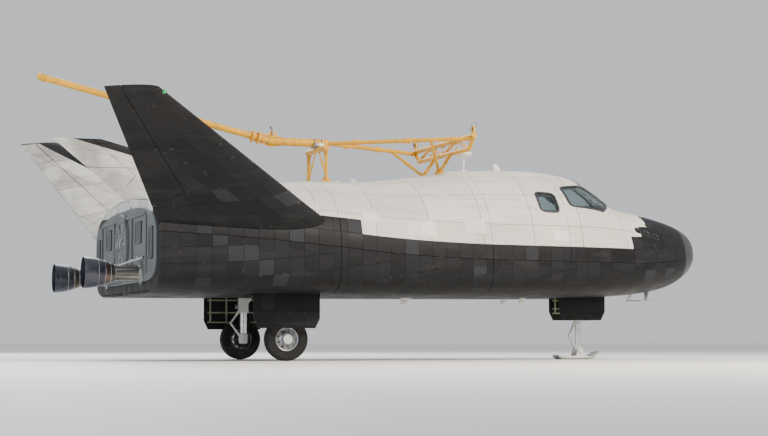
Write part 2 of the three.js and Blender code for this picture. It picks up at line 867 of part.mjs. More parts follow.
function makeSkid() {
  const { front, back, halfWidth, thickness, toe, heel, saddleZ, saddleHalf } = skid;
  const frame = basis(
    floorPoint(0, -halfWidth, 0),
    new THREE.Vector3(-1, 0, 0),
    new THREE.Vector3(0, 0, 1),
    new THREE.Vector3(0, 1, 0),
  );
  // stations and heights, along the sole, up the heel, back over the top and down the turned-up toe
  const outline = [
    [front + 170, 0],
    [back - 60, 0],
    [back, heel],
    [back, heel + thickness * 0.6],
    [back - 70, thickness],
    [front + 180, thickness],
    [front + 60, toe * 0.55 + thickness * 0.9],
    [front, toe + thickness],
    [front, toe],
    [front + 50, toe * 0.5],
    [front + 110, toe * 0.16],
  ];
  const saddle = block(
    floorPoint(noseLeg.station + saddleHalf, -saddleHalf, thickness / 2),
    floorPoint(noseLeg.station - saddleHalf, saddleHalf, saddleZ - seam),
  );
  return prism(outline, frame, 0, 2 * halfWidth).add(saddle);
}

// Lifting frame

const f = frameForm;
const spineAft = point(f.spineAft, 0, f.spineHeight + 8);
const spineFore = point(f.spineFore, 0, f.spineHeight);
const boomDirection = point(overallLength, 0, f.boomRise).sub(spineAft);
const boomEnd = spineAft.clone().addScaledVector(boomDirection, 1.02);

function lugPlate(station, y, height, along) {
  const { width, height: tall, thickness, hole } = lug;
  const sideways = along ? new THREE.Vector3(1, 0, 0) : across;
  const normal = along ? across : new THREE.Vector3(1, 0, 0);
  const frame = basis(point(station, y, height), sideways, new THREE.Vector3(0, 0, 1), normal);
  const outline = [
    [-width / 2, 0],
    [width / 2, 0],
    [width / 2, tall * 0.55],
    [width / 4, tall],
    [-width / 4, tall],
    [-width / 2, tall * 0.55],
  ];
  const plate = prism(outline, frame, -thickness / 2, thickness / 2);
  const eye = point(station, y, height + tall * 0.62);
  const bore = rod(
    eye.clone().addScaledVector(normal, -thickness),
    eye.clone().addScaledVector(normal, thickness),
    hole,
    hole,
    12,
  );
  return plate.subtract(bore);
}

function spine(grow) {
  return join(
    rod(spineAft, spineFore, f.spineRadius + grow, f.spineRadius + grow, 16),
    ball(spineAft, f.spineRadius + grow),
  );
}

const boomTrim = block(point(overallLength, -500, 1500), point(5000, 500, 3500));
const liftingBoom = join(
  spine(0),
  rod(spineAft, boomEnd, f.boomRadius, f.boomRadius, 16).intersect(boomTrim),
  lugPlate(f.spineAft - 40, 0, f.spineHeight + f.spineRadius - 20, true),
);

function deckPad(station, y) {
  const surface = deckHeight(station, y);
  return rod(point(station, y, surface - 60), point(station, y, surface + f.padDepth), f.padRadius);
}

function crossbar(grow) {
  const { crossStation: s, crossHeight: h, crossHalf: half } = f;
  const radius = f.crossRadius + grow;
  return rod(point(s, -half, h), point(s, half, h), radius, radius, 12);
}

const rearPosts = [-1, 1].flatMap((side) => {
  const y = side * f.postSpread;
  const foot = point(f.crossStation, y, deckHeight(f.crossStation, y) - 40);
  return [rod(foot, point(f.crossStation, y, f.crossHeight), f.postRadius), deckPad(f.crossStation, y)];
});
const rearCrossbar = join(crossbar(0), ...rearPosts).subtract(bodyAndSeam).subtract(spine(seam));

function spreaderRods(grow) {
  const r = f.spreaderRadius + grow;
  const top = (y) => point(f.spreaderStation, y, f.spreaderTop);
  const low = (y) => point(f.spreaderStation, y, f.spreaderBottom);
  const chords = [
    rod(top(-f.spreaderHalf), top(f.spreaderHalf), r),
    rod(low(-f.spreaderLowHalf), low(f.spreaderLowHalf), r),
  ];
  const bays = 4;
  const bayWidth = (2 * f.spreaderLowHalf) / bays;
  for (let i = 0; i < bays; i += 1) {
    const start = -f.spreaderLowHalf + i * bayWidth;
    const end = start + bayWidth;
    chords.push(rod(i % 2 ? low(end) : top(end), i % 2 ? top(start) : low(start), r * 0.6));
  }
  chords.push(rod(top(f.spreaderHalf - 30), low(f.spreaderLowHalf), r * 0.8));
  chords.push(rod(top(-f.spreaderHalf + 30), low(-f.spreaderLowHalf), r * 0.8));
  return join(...chords);
}

function longTube(side, grow) {
  const start = point(f.spineFore - 20, side * f.tubeStart * 0.2, f.tubeHeight);
  const end = point(f.spreaderStation, side * (f.spreaderHalf - 60), f.tubeHeight + 10);
  return rod(start, end, f.tubeRadius + grow);
}

function makeFrontPost(side) {
  const { frontPostStation: s, frontPostY } = f;
  const y = side * frontPostY;
  const surface = deckHeight(s, y);
  const share = (f.spineFore - f.braceStation) / (f.spineFore - f.spreaderStation);
  const braceHead = point(f.braceStation, side * (f.spreaderHalf - 60) * share, f.tubeHeight);
  return join(
    rod(point(s, y, surface - 40), point(f.spreaderStation, y, f.spreaderBottom), f.postRadius),
    rod(point(s, y, surface), braceHead, f.postRadius * 0.8),
    deckPad(s, y),
  ).subtract(bodyAndSeam);
}

function makeMast() {
  const { station, radius, height, headRadius, headHalf } = mast;
  const surface = deckHeight(station, 0);
  const head = [[0, -headHalf], [headRadius, -8], [headRadius, 8], [0, headHalf]];
  return join(
    rod(point(station, 0, surface - 30), point(station, 0, height), radius),
    rod(point(station, 0, surface - 30), point(station, 0, surface + 14), 45),
    turned(head, point(station, 0, height), new THREE.Vector3(0, 0, 1), 12),
  ).subtract(bodyAndSeam);
}

const spreaderAndSeam = spreaderRods(seam);
const spreader = join(
  spreaderRods(0),
  ...[-1, 1].map((side) => (
    lugPlate(f.spreaderStation, side * (f.spreaderHalf - 60), f.spreaderTop + 15, false)
  )),
);

// Cabin fittings

function makePanel() {
  const { station, depth, halfWidth, bottom, top, pedestal, overlap } = panel;
  return join(
    block(point(station + depth, -halfWidth, bottom), point(station, halfWidth, top)),
    block(
      point(station + depth - overlap, -pedestal, chineAt(station) + seam),
      point(station + overlap, pedestal, bottom + overlap),
    ),
  );
}

function makeSeat(side) {
  const { station, y, width, toe, depth, lean, backHeight, backThickness } = seat;
  const { cushionFront, cushionBack, cushionThickness } = seat;
  const frame = basis(
    point(0, side * y - width / 2, 0),
    new THREE.Vector3(-1, 0, 0),
    new THREE.Vector3(0, 0, 1),
    new THREE.Vector3(0, 1, 0),
  );
  const floor = chineAt(station) + seam;
  const outline = [
    [station + toe, floor],
    [station + depth, floor],
    [station + depth + lean, floor + backHeight],
    [station + depth + lean - backThickness, floor + backHeight + 10],
    [station + depth - lean, cushionBack],
    [station, cushionFront],
    [station, cushionFront - cushionThickness],
    [station + toe, cushionBack - lean],
  ];
  return prism(outline, frame, 0, width);
}

// Assembly

const craft = new THREE.Group();

function add(name, body, finish) {
  const mesh = body.getMesh();
  const geometry = new THREE.BufferGeometry();
  geometry.setAttribute('position', new THREE.BufferAttribute(mesh.vertProperties, 3));
  geometry.setIndex(new THREE.BufferAttribute(mesh.triVerts, 1));
  geometry.computeVertexNormals();
  const [color, roughness, metalness] = finishes[finish];
  const node = new THREE.Mesh(geometry, new THREE.MeshStandardMaterial({ color, roughness, metalness }));
  node.name = name;
  craft.add(node);
}

function flapSlots(body, upper) {
  return flaps.filter((one) => one.upper === upper).reduce((left, one) => left.subtract(one.slot), body);
}

const capStations = Array.from({ length: 8 }, (unused, i) => (noseCapEnd - seam / 2) * (i / 7) ** 2);
add('nose_cap', loft(capStations.map((station) => fullRing(station, 0))), 'tile');
add('nose_deck', deckLoft(noseCapEnd, cockpitStart), 'blanket');
const cutWindows = (body) => windowCutters.reduce((left, cutter) => left.subtract(cutter), body);
const cockpit = deckLoft(cockpitStart, cockpitEnd).subtract(cavity);
add('cockpit_frame', cutWindows(cockpit), 'blanket');
const cabin = deckLoft(cockpitEnd, cabinEnd).subtract(cavity).subtract(hatchOpening);
add('cabin_roof', join(cutWindows(cabin), ...cabinKnuckles), 'blanket');
add('crew_hatch', crewHatch, 'blanket');
panes.forEach(([name, pane]) => add(name, pane, 'glass'));
add('mid_fuselage', deckLoft(cabinEnd, midEnd), 'blanket');
add('aft_fuselage', flapSlots(deckLoft(midEnd, baseStation), true), 'blanket');

const noseBayBlock = block(
  point(noseBay.back, -noseBay.halfWidth, -200),
  point(noseBay.front, noseBay.halfWidth, noseBay.depth),
);
add('belly_forward', bellyLoft(noseCapEnd, cabinEnd).subtract(noseBayBlock), 'tile');
add('belly_mid', bellyLoft(cabinEnd, midEnd), 'tile');
const bellyAft = flapSlots(bellyLoft(midEnd, baseStation), false);
add('belly_aft', bellyAft.subtract(bayBlock(mainBay, -1)).subtract(bayBlock(mainBay, 1)), 'tile');
flaps.forEach((one) => add(one.name, one.body, one.upper ? 'blanket' : 'tile'));

add('base_bulkhead', basePlateSolid, 'bulkhead');
add('docking_port_cover', makeDockingCover(), 'bulkhead');
add('centre_fin', finWhole.subtract(movingEdge(rudderEdge, moveGap)), 'blanket');
add('rudder', finWhole.intersect(movingEdge(rudderEdge, 0)), 'blanket');

add('instrument_panel', makePanel(), 'cabin');
add('nose_leg', makeNoseLeg(), 'gear');
add('nose_skid', makeSkid(), 'gear');
add('lifting_boom', liftingBoom, 'lift');
add('rear_crossbar', rearCrossbar, 'lift');
add('front_spreader', spreader, 'lift');
add('antenna_mast', makeMast(), 'lift');

for (const [sideName, side] of sides) {
  const [fixed, moving] = makeWing(side);
  add(`wing_${sideName}`, fixed, 'blanket');
  add(`elevon_${sideName}`, moving, 'blanket');
  add(`engine_nozzle_${sideName}`, makeNozzle(side), 'nozzle');
  add(`seat_${sideName}`, makeSeat(side), 'seat');
  add(`main_leg_${sideName}`, makeMainLeg(side), 'gear');
  add(`tyre_${sideName}`, makeTyre(side), 'rubber');
  add(`wheel_rim_${sideName}`, makeRim(side), 'rim');
  add(`main_gear_door_${sideName}`, hangingDoor(mainBay, mainDoor, side, mainBay.outer), 'tile');
  add(`nose_gear_door_${sideName}`, hangingDoor(noseBay, noseDoor, side, noseBay.halfWidth), 'tile');
  const tube = longTube(side, 0).subtract(spine(seam)).subtract(spreaderAndSeam);
  add(`frame_tube_${sideName}`, side > 0 ? tube.subtract(longTube(-1, seam)) : tube, 'lift');
  const post = makeFrontPost(side).subtract(spreaderAndSeam).subtract(longTube(side, seam));
  add(`front_post_${sideName}`, post, 'lift');
}

export default craft;
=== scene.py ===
import math
from contextlib import contextmanager

import bpy
import numpy as np
from mathutils import Matrix, Vector


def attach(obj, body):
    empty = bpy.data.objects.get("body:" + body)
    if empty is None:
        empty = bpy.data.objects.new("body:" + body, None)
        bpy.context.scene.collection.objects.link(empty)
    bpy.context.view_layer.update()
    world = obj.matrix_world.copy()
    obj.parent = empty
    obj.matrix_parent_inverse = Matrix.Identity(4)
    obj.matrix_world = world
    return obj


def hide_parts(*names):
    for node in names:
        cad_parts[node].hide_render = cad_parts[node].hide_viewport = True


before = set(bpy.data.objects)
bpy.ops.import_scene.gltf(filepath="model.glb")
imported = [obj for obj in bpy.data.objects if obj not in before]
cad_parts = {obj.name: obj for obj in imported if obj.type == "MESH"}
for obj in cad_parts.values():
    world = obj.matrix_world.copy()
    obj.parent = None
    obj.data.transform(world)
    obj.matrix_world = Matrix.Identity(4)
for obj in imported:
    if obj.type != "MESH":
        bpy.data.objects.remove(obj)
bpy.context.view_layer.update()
print("frame loaded")

# Metres. A station is a distance aft of the nose tip, a height is above the flat of the belly.
noseX = 4.72
bellyZ = 0.85
baseStation = 8.26
sides = {"starboard": -1, "port": 1}
forward, across, upward = Vector((1, 0, 0)), Vector((0, 1, 0)), Vector((0, 0, 1))
aft = Vector((-1, 0, 0))
bodyForm = [
    # station, half width, belly, chine, deck, belly power, deck power
    (0, 0, 0.66, 0.66, 0.66, 2.2, 2.0),
    (0.06, 0.225, 0.48, 0.64, 0.87, 2.2, 2.0),
    (0.25, 0.48, 0.3, 0.59, 1.015, 2.3, 2.0),
    (0.56, 0.715, 0.155, 0.54, 1.125, 2.5, 2.0),
    (0.9, 0.905, 0.085, 0.5, 1.205, 2.8, 2.0),
    (1.4, 1.11, 0.035, 0.475, 1.3, 3.2, 2.0),
    (1.45, 1.125, 0.032, 0.475, 1.325, 3.2, 2.0),
    (1.72, 1.215, 0.018, 0.475, 1.54, 3.5, 2.0),
    (2.08, 1.315, 0.008, 0.475, 1.722, 3.9, 2.0),
    (2.7, 1.46, 0, 0.475, 1.79, 4.4, 2.05),
    (3.6, 1.64, 0, 0.475, 1.77, 5.0, 2.1),
    (4.4, 1.79, 0, 0.49, 1.65, 5.6, 2.2),
    (5.2, 1.93, 0, 0.53, 1.56, 6.2, 2.3),
    (5.9, 2.04, 0, 0.59, 1.55, 6.6, 2.35),
    (7.2, 2.18, 0, 0.69, 1.41, 7.0, 2.5),
    (8.26, 2.24, 0, 0.74, 1.27, 7.0, 2.6),
]
seams = {"noseCap": 0.35, "cockpit": 1.4, "cabin": 2.48, "middle": 3.7, "aft": 5.9, "base": baseStation}
mesh = {"stationStep": 0.06, "quarterSteps": 26, "gap": 0.0015, "chamfer": 0.004}


# Selecting and editing

def pick(*pieces):
    bpy.ops.object.select_all(action="DESELECT")
    for piece in pieces:
        piece.select_set(True)
    bpy.context.view_layer.objects.active = pieces[0]


def named(name):
    piece = bpy.context.object
    piece.name = piece.data.name = name
    return piece


def settled(name):
    piece = named(name)
    pick(piece)
    bpy.ops.object.transform_apply(location=True, rotation=True, scale=True)
    return piece


@contextmanager
def editing(piece, kind="FACE", rule=None):
    # edit mode with only the parts selected that fit the rule, or all of them
    pick(piece)
    groups = {"VERT": piece.data.vertices, "EDGE": piece.data.edges, "FACE": piece.data.polygons}
    bpy.context.tool_settings.mesh_select_mode = [name == kind for name in groups]
    for group in groups.values():
        group.foreach_set("select", [rule is None] * len(group))
    if rule:
        groups[kind].foreach_set("select", [bool(rule(part)) for part in groups[kind]])
    bpy.ops.object.mode_set(mode="EDIT")
    yield
    bpy.ops.object.mode_set(mode="OBJECT")


def outwards(piece):
    with editing(piece):
        bpy.ops.mesh.normals_make_consistent(inside=False)
    return piece


def modify(piece, kind, **settings):
    modifier = piece.modifiers.new(kind.lower(), kind)
    for setting, value in settings.items():
        setattr(modifier, setting, value)
    pick(piece)
    bpy.ops.object.modifier_apply(modifier=modifier.name)
    return piece


def bevelled(piece, width, segments=2, degrees=50):
    # rounds the edges that are sharper than an angle
    return modify(piece, "BEVEL", width=width, segments=segments, limit_method="ANGLE",
                  angle_limit=math.radians(degrees))


def carve(piece, *cutters, operation="DIFFERENCE", keep=False):
    for cutter in cutters:
        modify(piece, "BOOLEAN", object=cutter, operation=operation, solver="MANIFOLD")
        if not keep:
            remove(cutter)
    return piece


def remove(*pieces):
    for piece in pieces:
        bpy.data.objects.remove(piece)


def copied(piece, name):
    twin = piece.copy()
    twin.data = piece.data.copy()
    bpy.context.scene.collection.objects.link(twin)
    twin.name = twin.data.name = name
    return twin


def joined(name, pieces):
    pick(*pieces)
    if len(pieces) > 1:
        bpy.ops.object.join()
    return named(name)


def smooth(piece, degrees):
    pick(piece)
    bpy.ops.object.shade_smooth_by_angle(angle=math.radians(degrees))
    return piece


# Primitives laid on a form

def wrapped(name, columns, rows, place):
    # a cylinder whose rings are laid where place(column, row) says, with flat ends
    bpy.ops.mesh.primitive_cylinder_add(vertices=columns, radius=1, depth=rows - 1, end_fill_type="NGON")
    piece = named(name)
    upright = lambda edge: edge.vertices[0] // 2 == edge.vertices[1] // 2
    with editing(piece, "EDGE", upright):
        if rows > 2:
            bpy.ops.mesh.subdivide(number_cuts=rows - 2)
    for vertex in piece.data.vertices:
        x, y, z = vertex.co
        column = round(math.atan2(x, y) / math.tau * columns) % columns
        vertex.co = place(column, round(z + (rows - 1) / 2))
    return outwards(piece)


def overRings(name, rings):
    return wrapped(name, len(rings[0]), len(rings), lambda column, row: rings[row][column])


def prism(name, outline, axes, start, end):
    # a flat outline in the first two axes, pushed along the third
    bpy.ops.mesh.primitive_circle_add(vertices=len(outline), fill_type="NGON")
    piece = named(name)
    for vertex, (u, v) in zip(piece.data.vertices, outline):
        vertex.co = axes @ Vector((u, v, start))
    push = axes.to_3x3() @ Vector((0, 0, end - start))
    with editing(piece):
        bpy.ops.mesh.extrude_region_move(TRANSFORM_OT_translate={"value": push})
    return outwards(piece)


def axesOf(origin, xAxis, yAxis, zAxis):
    turn = Matrix((xAxis, yAxis, zAxis)).transposed().to_4x4()
    return Matrix.Translation(origin) @ turn


def rectangle(u, v, halfWidth, halfHeight):
    left, right, low, high = u - halfWidth, u + halfWidth, v - halfHeight, v + halfHeight
    return [(left, low), (right, low), (right, high), (left, high)]


def rounded(corners, radius, count=6):
    # corners of a flat outline rounded by curves
    outline = []
    for i, corner in enumerate(corners):
        corner = Vector(corner)
        before = (Vector(corners[i - 1]) - corner).normalized()
        after = (Vector(corners[(i + 1) % len(corners)]) - corner).normalized()
        reach = radius / math.tan(before.angle(after) / 2)
        start, end = corner + before * reach, corner + after * reach
        for step in range(count + 1):
            t = step / count
            outline.append(start * (1 - t) ** 2 + corner * 2 * t * (1 - t) + end * t ** 2)
    return outline


def spokes(count, first, second, shift=0.0):
    # directions at even turns from the first towards the second
    angles = [math.tau * (i + shift) / count for i in range(count)]
    return [first * math.cos(angle) + second * math.sin(angle) for angle in angles]


def rod(name, start, end, radius, endRadius=None, faces=28):
    start, end = Vector(start), Vector(end)
    turn = (end - start).to_track_quat("Z", "Y").to_euler()
    bpy.ops.mesh.primitive_cone_add(
        vertices=faces, radius1=radius, radius2=radius if endRadius is None else endRadius,
        depth=(end - start).length, location=(start + end) / 2, rotation=turn)
    return settled(name)


def box(name, low, high, bevel=0.0, segments=2):
    low, high = Vector(low), Vector(high)
    bpy.ops.mesh.primitive_cube_add(size=1, location=(low + high) / 2)
    bpy.context.object.scale = [abs(b - a) for a, b in zip(low, high)]
    piece = settled(name)
    return bevelled(piece, bevel, segments) if bevel else piece


def ball(name, centre, radius, scale=(1, 1, 1), segments=24):
    bpy.ops.mesh.primitive_uv_sphere_add(
        segments=segments, ring_count=segments // 2, radius=radius, location=centre)
    bpy.context.object.scale = scale
    return settled(name)


def turned(name, profile, origin, direction, faces=48, closed=False):
    # a profile of radius and distance, turned about a line; closed is a ring with a hole
    direction = Vector(direction).normalized()
    first = direction.orthogonal().normalized()
    second = direction.cross(first)
    out = spokes(faces, first, second)
    spot = lambda i, radius, along: Vector(origin) + direction * along + out[i] * radius
    if not closed:
        return wrapped(name, faces, len(profile), lambda column, row: spot(column, *profile[row]))
    bpy.ops.mesh.primitive_torus_add(major_segments=faces, minor_segments=len(profile))
    piece = named(name)
    for i, vertex in enumerate(piece.data.vertices):
        vertex.co = spot(i // len(profile), *profile[i % len(profile)])
    return outwards(piece)


def tube(name, points, radius, closed=False):
    # a round bar bent along points
    curve = bpy.data.curves.new(name, "CURVE")
    curve.dimensions = "3D"
    curve.bevel_depth = radius
    curve.bevel_resolution = 4
    curve.use_fill_caps = True
    curve.resolution_u = 8
    spline = curve.splines.new("NURBS")
    spline.points.add(len(points) - 1)
    for spot, place in zip(spline.points, points):
        spot.co = (*place, 1)
    spline.use_cyclic_u = closed
    spline.order_u = 3
    spline.use_endpoint_u = not closed
    piece = bpy.data.objects.new(name, curve)
    bpy.context.scene.collection.objects.link(piece)
    pick(piece)
    bpy.ops.object.convert(target="MESH")
    piece = named(name)
    with editing(piece):
        bpy.ops.mesh.remove_doubles(threshold=1e-5)
    return outwards(piece)


# The body's form

def smoothColumn(column):
    # one column of the form, drawn smoothly through its rows
    u = [math.sqrt(row[0]) for row in bodyForm]
    v = [row[column] for row in bodyForm]
    secant = [(v[i + 1] - v[i]) / (u[i + 1] - u[i]) for i in range(len(u) - 1)]
    slope = []
    for i in range(len(u)):
        before, after = secant[max(i - 1, 0)], secant[min(i, len(secant) - 1)]
        slope.append(2 * before * after / (before + after) if before * after > 0 else 0.0)

    def valueAt(station):
        at = math.sqrt(max(station, 0))
        i = 0
        while i < len(u) - 2 and u[i + 1] < at:
            i += 1
        width = u[i + 1] - u[i]
        t = (at - u[i]) / width
        start = (2 * t ** 3 - 3 * t ** 2 + 1) * v[i] + (t ** 3 - 2 * t ** 2 + t) * width * slope[i]
        return start + (3 * t ** 2 - 2 * t ** 3) * v[i + 1] + (t ** 3 - t ** 2) * width * slope[i + 1]
    return valueAt


halfWidthAt, bellyAt, chineAt, deckAt, bellyPowerAt, deckPowerAt = (smoothColumn(i) for i in range(1, 7))
sweep = np.linspace(0, 1, 241)
turns = np.pi / 2 * sweep ** 3 / (sweep ** 3 + (1 - sweep) ** 3)


def point(station, y, height):
    return Vector((noseX - station, y, bellyZ + height))


def quarter(station, onDeck, grow=0.0):
    # breadths, heights and lengths along the section, from the chine to the middle
    power = 2 / (deckPowerAt if onDeck else bellyPowerAt)(station)
    reach = (deckAt if onDeck else bellyAt)(station) - chineAt(station)
    y = (halfWidthAt(station) + grow) * np.clip(np.cos(turns), 0, 1) ** power
    y[-1] = 0
    height = chineAt(station) + (reach + (grow if onDeck else -grow)) * np.sin(turns) ** power
    length = np.concatenate(([0], np.cumsum(np.hypot(np.diff(y), np.diff(height)))))
    return y, height, length


def halfSection(station, onDeck, grow, lift, count):
    y, height, length = quarter(station, onDeck, grow)
    even = np.linspace(0, length[-1], count + 1)
    places = list(zip(np.interp(even, length, y), np.interp(even, length, height)))
    ring = [point(station, a, b) for a, b in places] + [point(station, -a, b) for a, b in places[-2::-1]]
    ring[0].z += lift
    ring[-1].z += lift
    return ring


def fullSection(station, grow, count):
    return halfSection(station, True, grow, 0, count) + halfSection(station, False, grow, 0, count)[-2:0:-1]


def deckHeight(station, y):
    power = deckPowerAt(station)
    share = 1 - (abs(y) / halfWidthAt(station)) ** power
    return chineAt(station) + (deckAt(station) - chineAt(station)) * share ** (1 / power)


def deckBreadth(station, height):
    power = deckPowerAt(station)
    share = (height - chineAt(station)) / (deckAt(station) - chineAt(station))
    return halfWidthAt(station) * (1 - share ** power) ** (1 / power)


def steps(start, end, step):
    count = max(1, math.ceil((end - start) / step))
    return [start + (end - start) * i / count for i in range(count + 1)]


def bodyBlock(name, part, start, end, grow=0.0, lift=None, chamfer=True):
    # a closed block of the body between two stations: its deck, its belly or both
    gap, edge, count = mesh["gap"], mesh["chamfer"], mesh["quarterSteps"]
    if chamfer:
        inner = steps(start + gap + edge, end - gap - edge, mesh["stationStep"])
        rows = [(start + gap, grow - edge), *((s, grow) for s in inner), (end - gap, grow - edge)]
    else:
        rows = [(s, grow) for s in steps(start, end, mesh["stationStep"])]
    if part == "both":
        return overRings(name, [fullSection(s, g, count) for s, g in rows])
    onDeck = part == "deck"
    rise = (gap if onDeck else -gap) if lift is None else lift
    return overRings(name, [halfSection(s, onDeck, g, rise, count) for s, g in rows])


def deckLayer(start, end, outer, inner):
    # the deck's skin between two stations, from one distance off its face to another
    return carve(bodyBlock("layer", "deck", start, end, outer, -0.04, False),
                 bodyBlock("layerInside", "deck", start - 0.02, end + 0.02, inner, -0.05, False))


print("body form ready")


# Shader maths and finishes

class Wire:
    # a socket that is used in sums
    def __init__(self, tree, socket):
        self.tree = tree
        self.socket = socket

    def maths(self, operation, *others):
        return addNode(self.tree, "Math", {"operation": operation}, dict(enumerate([self, *others])))

    def __add__(self, other):
        return self.maths("ADD", other)

    __radd__ = __add__

    def __mul__(self, other):
        return self.maths("MULTIPLY", other)

    __rmul__ = __mul__

    def __sub__(self, other):
        return self.maths("SUBTRACT", other)

    def __rsub__(self, other):
        return addNode(self.tree, "Math", {"operation": "SUBTRACT"}, {0: other, 1: self})

    def __truediv__(self, other):
        return self.maths("DIVIDE", other)

    def ramp(self, low, high, start=0.0, end=1.0):
        # smooth change from start to end as the value goes from low to high
        settings = {"interpolation_type": "SMOOTHSTEP"}
        return addNode(self.tree, "MapRange", settings, {0: self, 1: low, 2: high, 3: start, 4: end})


def addNode(tree, kind, settings=None, values=None, output=0):
    node = tree.nodes.new("ShaderNode" + kind)
    for setting, value in (settings or {}).items():
        if setting == "stops":
            for (place, colour), stop in zip(value, node.color_ramp.elements):
                stop.position, stop.color = place, colour
        else:
            setattr(node, setting, value)
    for socket, value in (values or {}).items():
        if isinstance(value, Wire):
            tree.links.new(value.socket, node.inputs[socket])
        else:
            node.inputs[socket].default_value = value
    return Wire(tree, node.outputs[output])


def paint(code):
    # a colour written as six hexadecimal digits, as the shaders hold it
    parts = [int(code[i:i + 2], 16) / 255 for i in (0, 2, 4)]
    return (*(c / 12.92 if c < 0.04045 else ((c + 0.055) / 1.055) ** 2.4 for c in parts), 1)


class Finish:
    def __init__(self, name, shader=None):
        self.material = bpy.data.materials.new(name)
        self.material.use_nodes = True
        self.tree = self.material.node_tree
        self.shader = self.tree.nodes["Principled BSDF"]
        self.set(shader or {})
        self.place = self.node("TexCoord", output="Object")

    def node(self, kind, settings=None, values=None, output=0):
        return addNode(self.tree, kind, settings, values, output)

    def set(self, values):
        for socket, value in values.items():
            if isinstance(value, Wire):
                self.tree.links.new(value.socket, self.shader.inputs[socket])
            else:
                self.shader.inputs[socket].default_value = value

    def split(self, vector):
        return [self.node("SeparateXYZ", values={0: vector}, output=i) for i in range(3)]

    def noise(self, scale, detail=3.0, rough=0.55):
        return self.node("TexNoise", values={
            "Vector": self.place, "Scale": scale, "Detail": detail, "Roughness": rough})

    def runs(self, stretch, detail, rough=0.6):
        # noise drawn out by a scale along each axis
        place = self.node("VectorMath", {"operation": "MULTIPLY"}, {0: self.place, 1: stretch})
        return self.node("TexNoise", values={
            "Vector": place, "Scale": 1.0, "Detail": detail, "Roughness": rough})

    def mix(self, factor, first, second):
        first, second = (paint(c) if isinstance(c, str) else c for c in (first, second))
        return self.node("Mix", {"data_type": "RGBA"}, {0: factor, 6: first, 7: second}, output=2)

    def layers(self, colour, *coats):
        # colours laid over the first one, each with its share
        for share, coat in coats:
            colour = self.mix(share, colour, coat)
        return colour

    def tint(self, colour, factor):
        # a colour made darker or lighter by a number
        grey = self.node("CombineXYZ", values={0: factor, 1: factor, 2: factor})
        settings = {"data_type": "RGBA", "blend_type": "MULTIPLY"}
        return self.node("Mix", settings, {0: 1.0, 6: colour, 7: grey}, output=2)

    def cells(self, u, v, width, height):
        # a grid: the distance to the nearest cell edge, a random number for each cell, its middle
        a, b = u / width, v / height
        nearU = (0.5 - (a.maths("FRACT") - 0.5).maths("ABSOLUTE")) * width
        nearV = (0.5 - (b.maths("FRACT") - 0.5).maths("ABSOLUTE")) * height
        column, row = a.maths("FLOOR"), b.maths("FLOOR")
        cell = self.node("CombineXYZ", values={0: column, 1: row, 2: 3.7})
        chance = self.node("TexWhiteNoise", {"noise_dimensions": "3D"}, {"Vector": cell})
        return nearU.maths("MINIMUM", nearV), chance, (column + 0.5) * width, (row + 0.5) * height

    def bump(self, height, distance):
        self.set({"Normal": self.node("Bump", values={
            "Strength": 1.0, "Distance": distance, "Height": height})})


tile = {"size": 0.2, "colour": "0f1012", "other": "1a1b1e", "renewed": "2a2c30", "chip": "8d8b86",
        "joint": "050506", "dust": "3a3a38"}
blanket = {"length": 0.78, "width": 0.52, "stitch": 0.065, "colour": "dddbd5", "other": "c8c6bf",
           "renewed": "ebeae6", "seam": "73716c", "dust": "a39e94", "stain": "bcb6a8"}
border = {"rise": 0.22, "noseRise": 1.4, "noseEnd": 1.5, "tailRise": 0.42, "tailStart": 4.9, "tailEnd": 7.2,
          "wingLead": 0.35}
sooted = {"start": -2.9, "end": -4.1, "colour": "2b2825"}


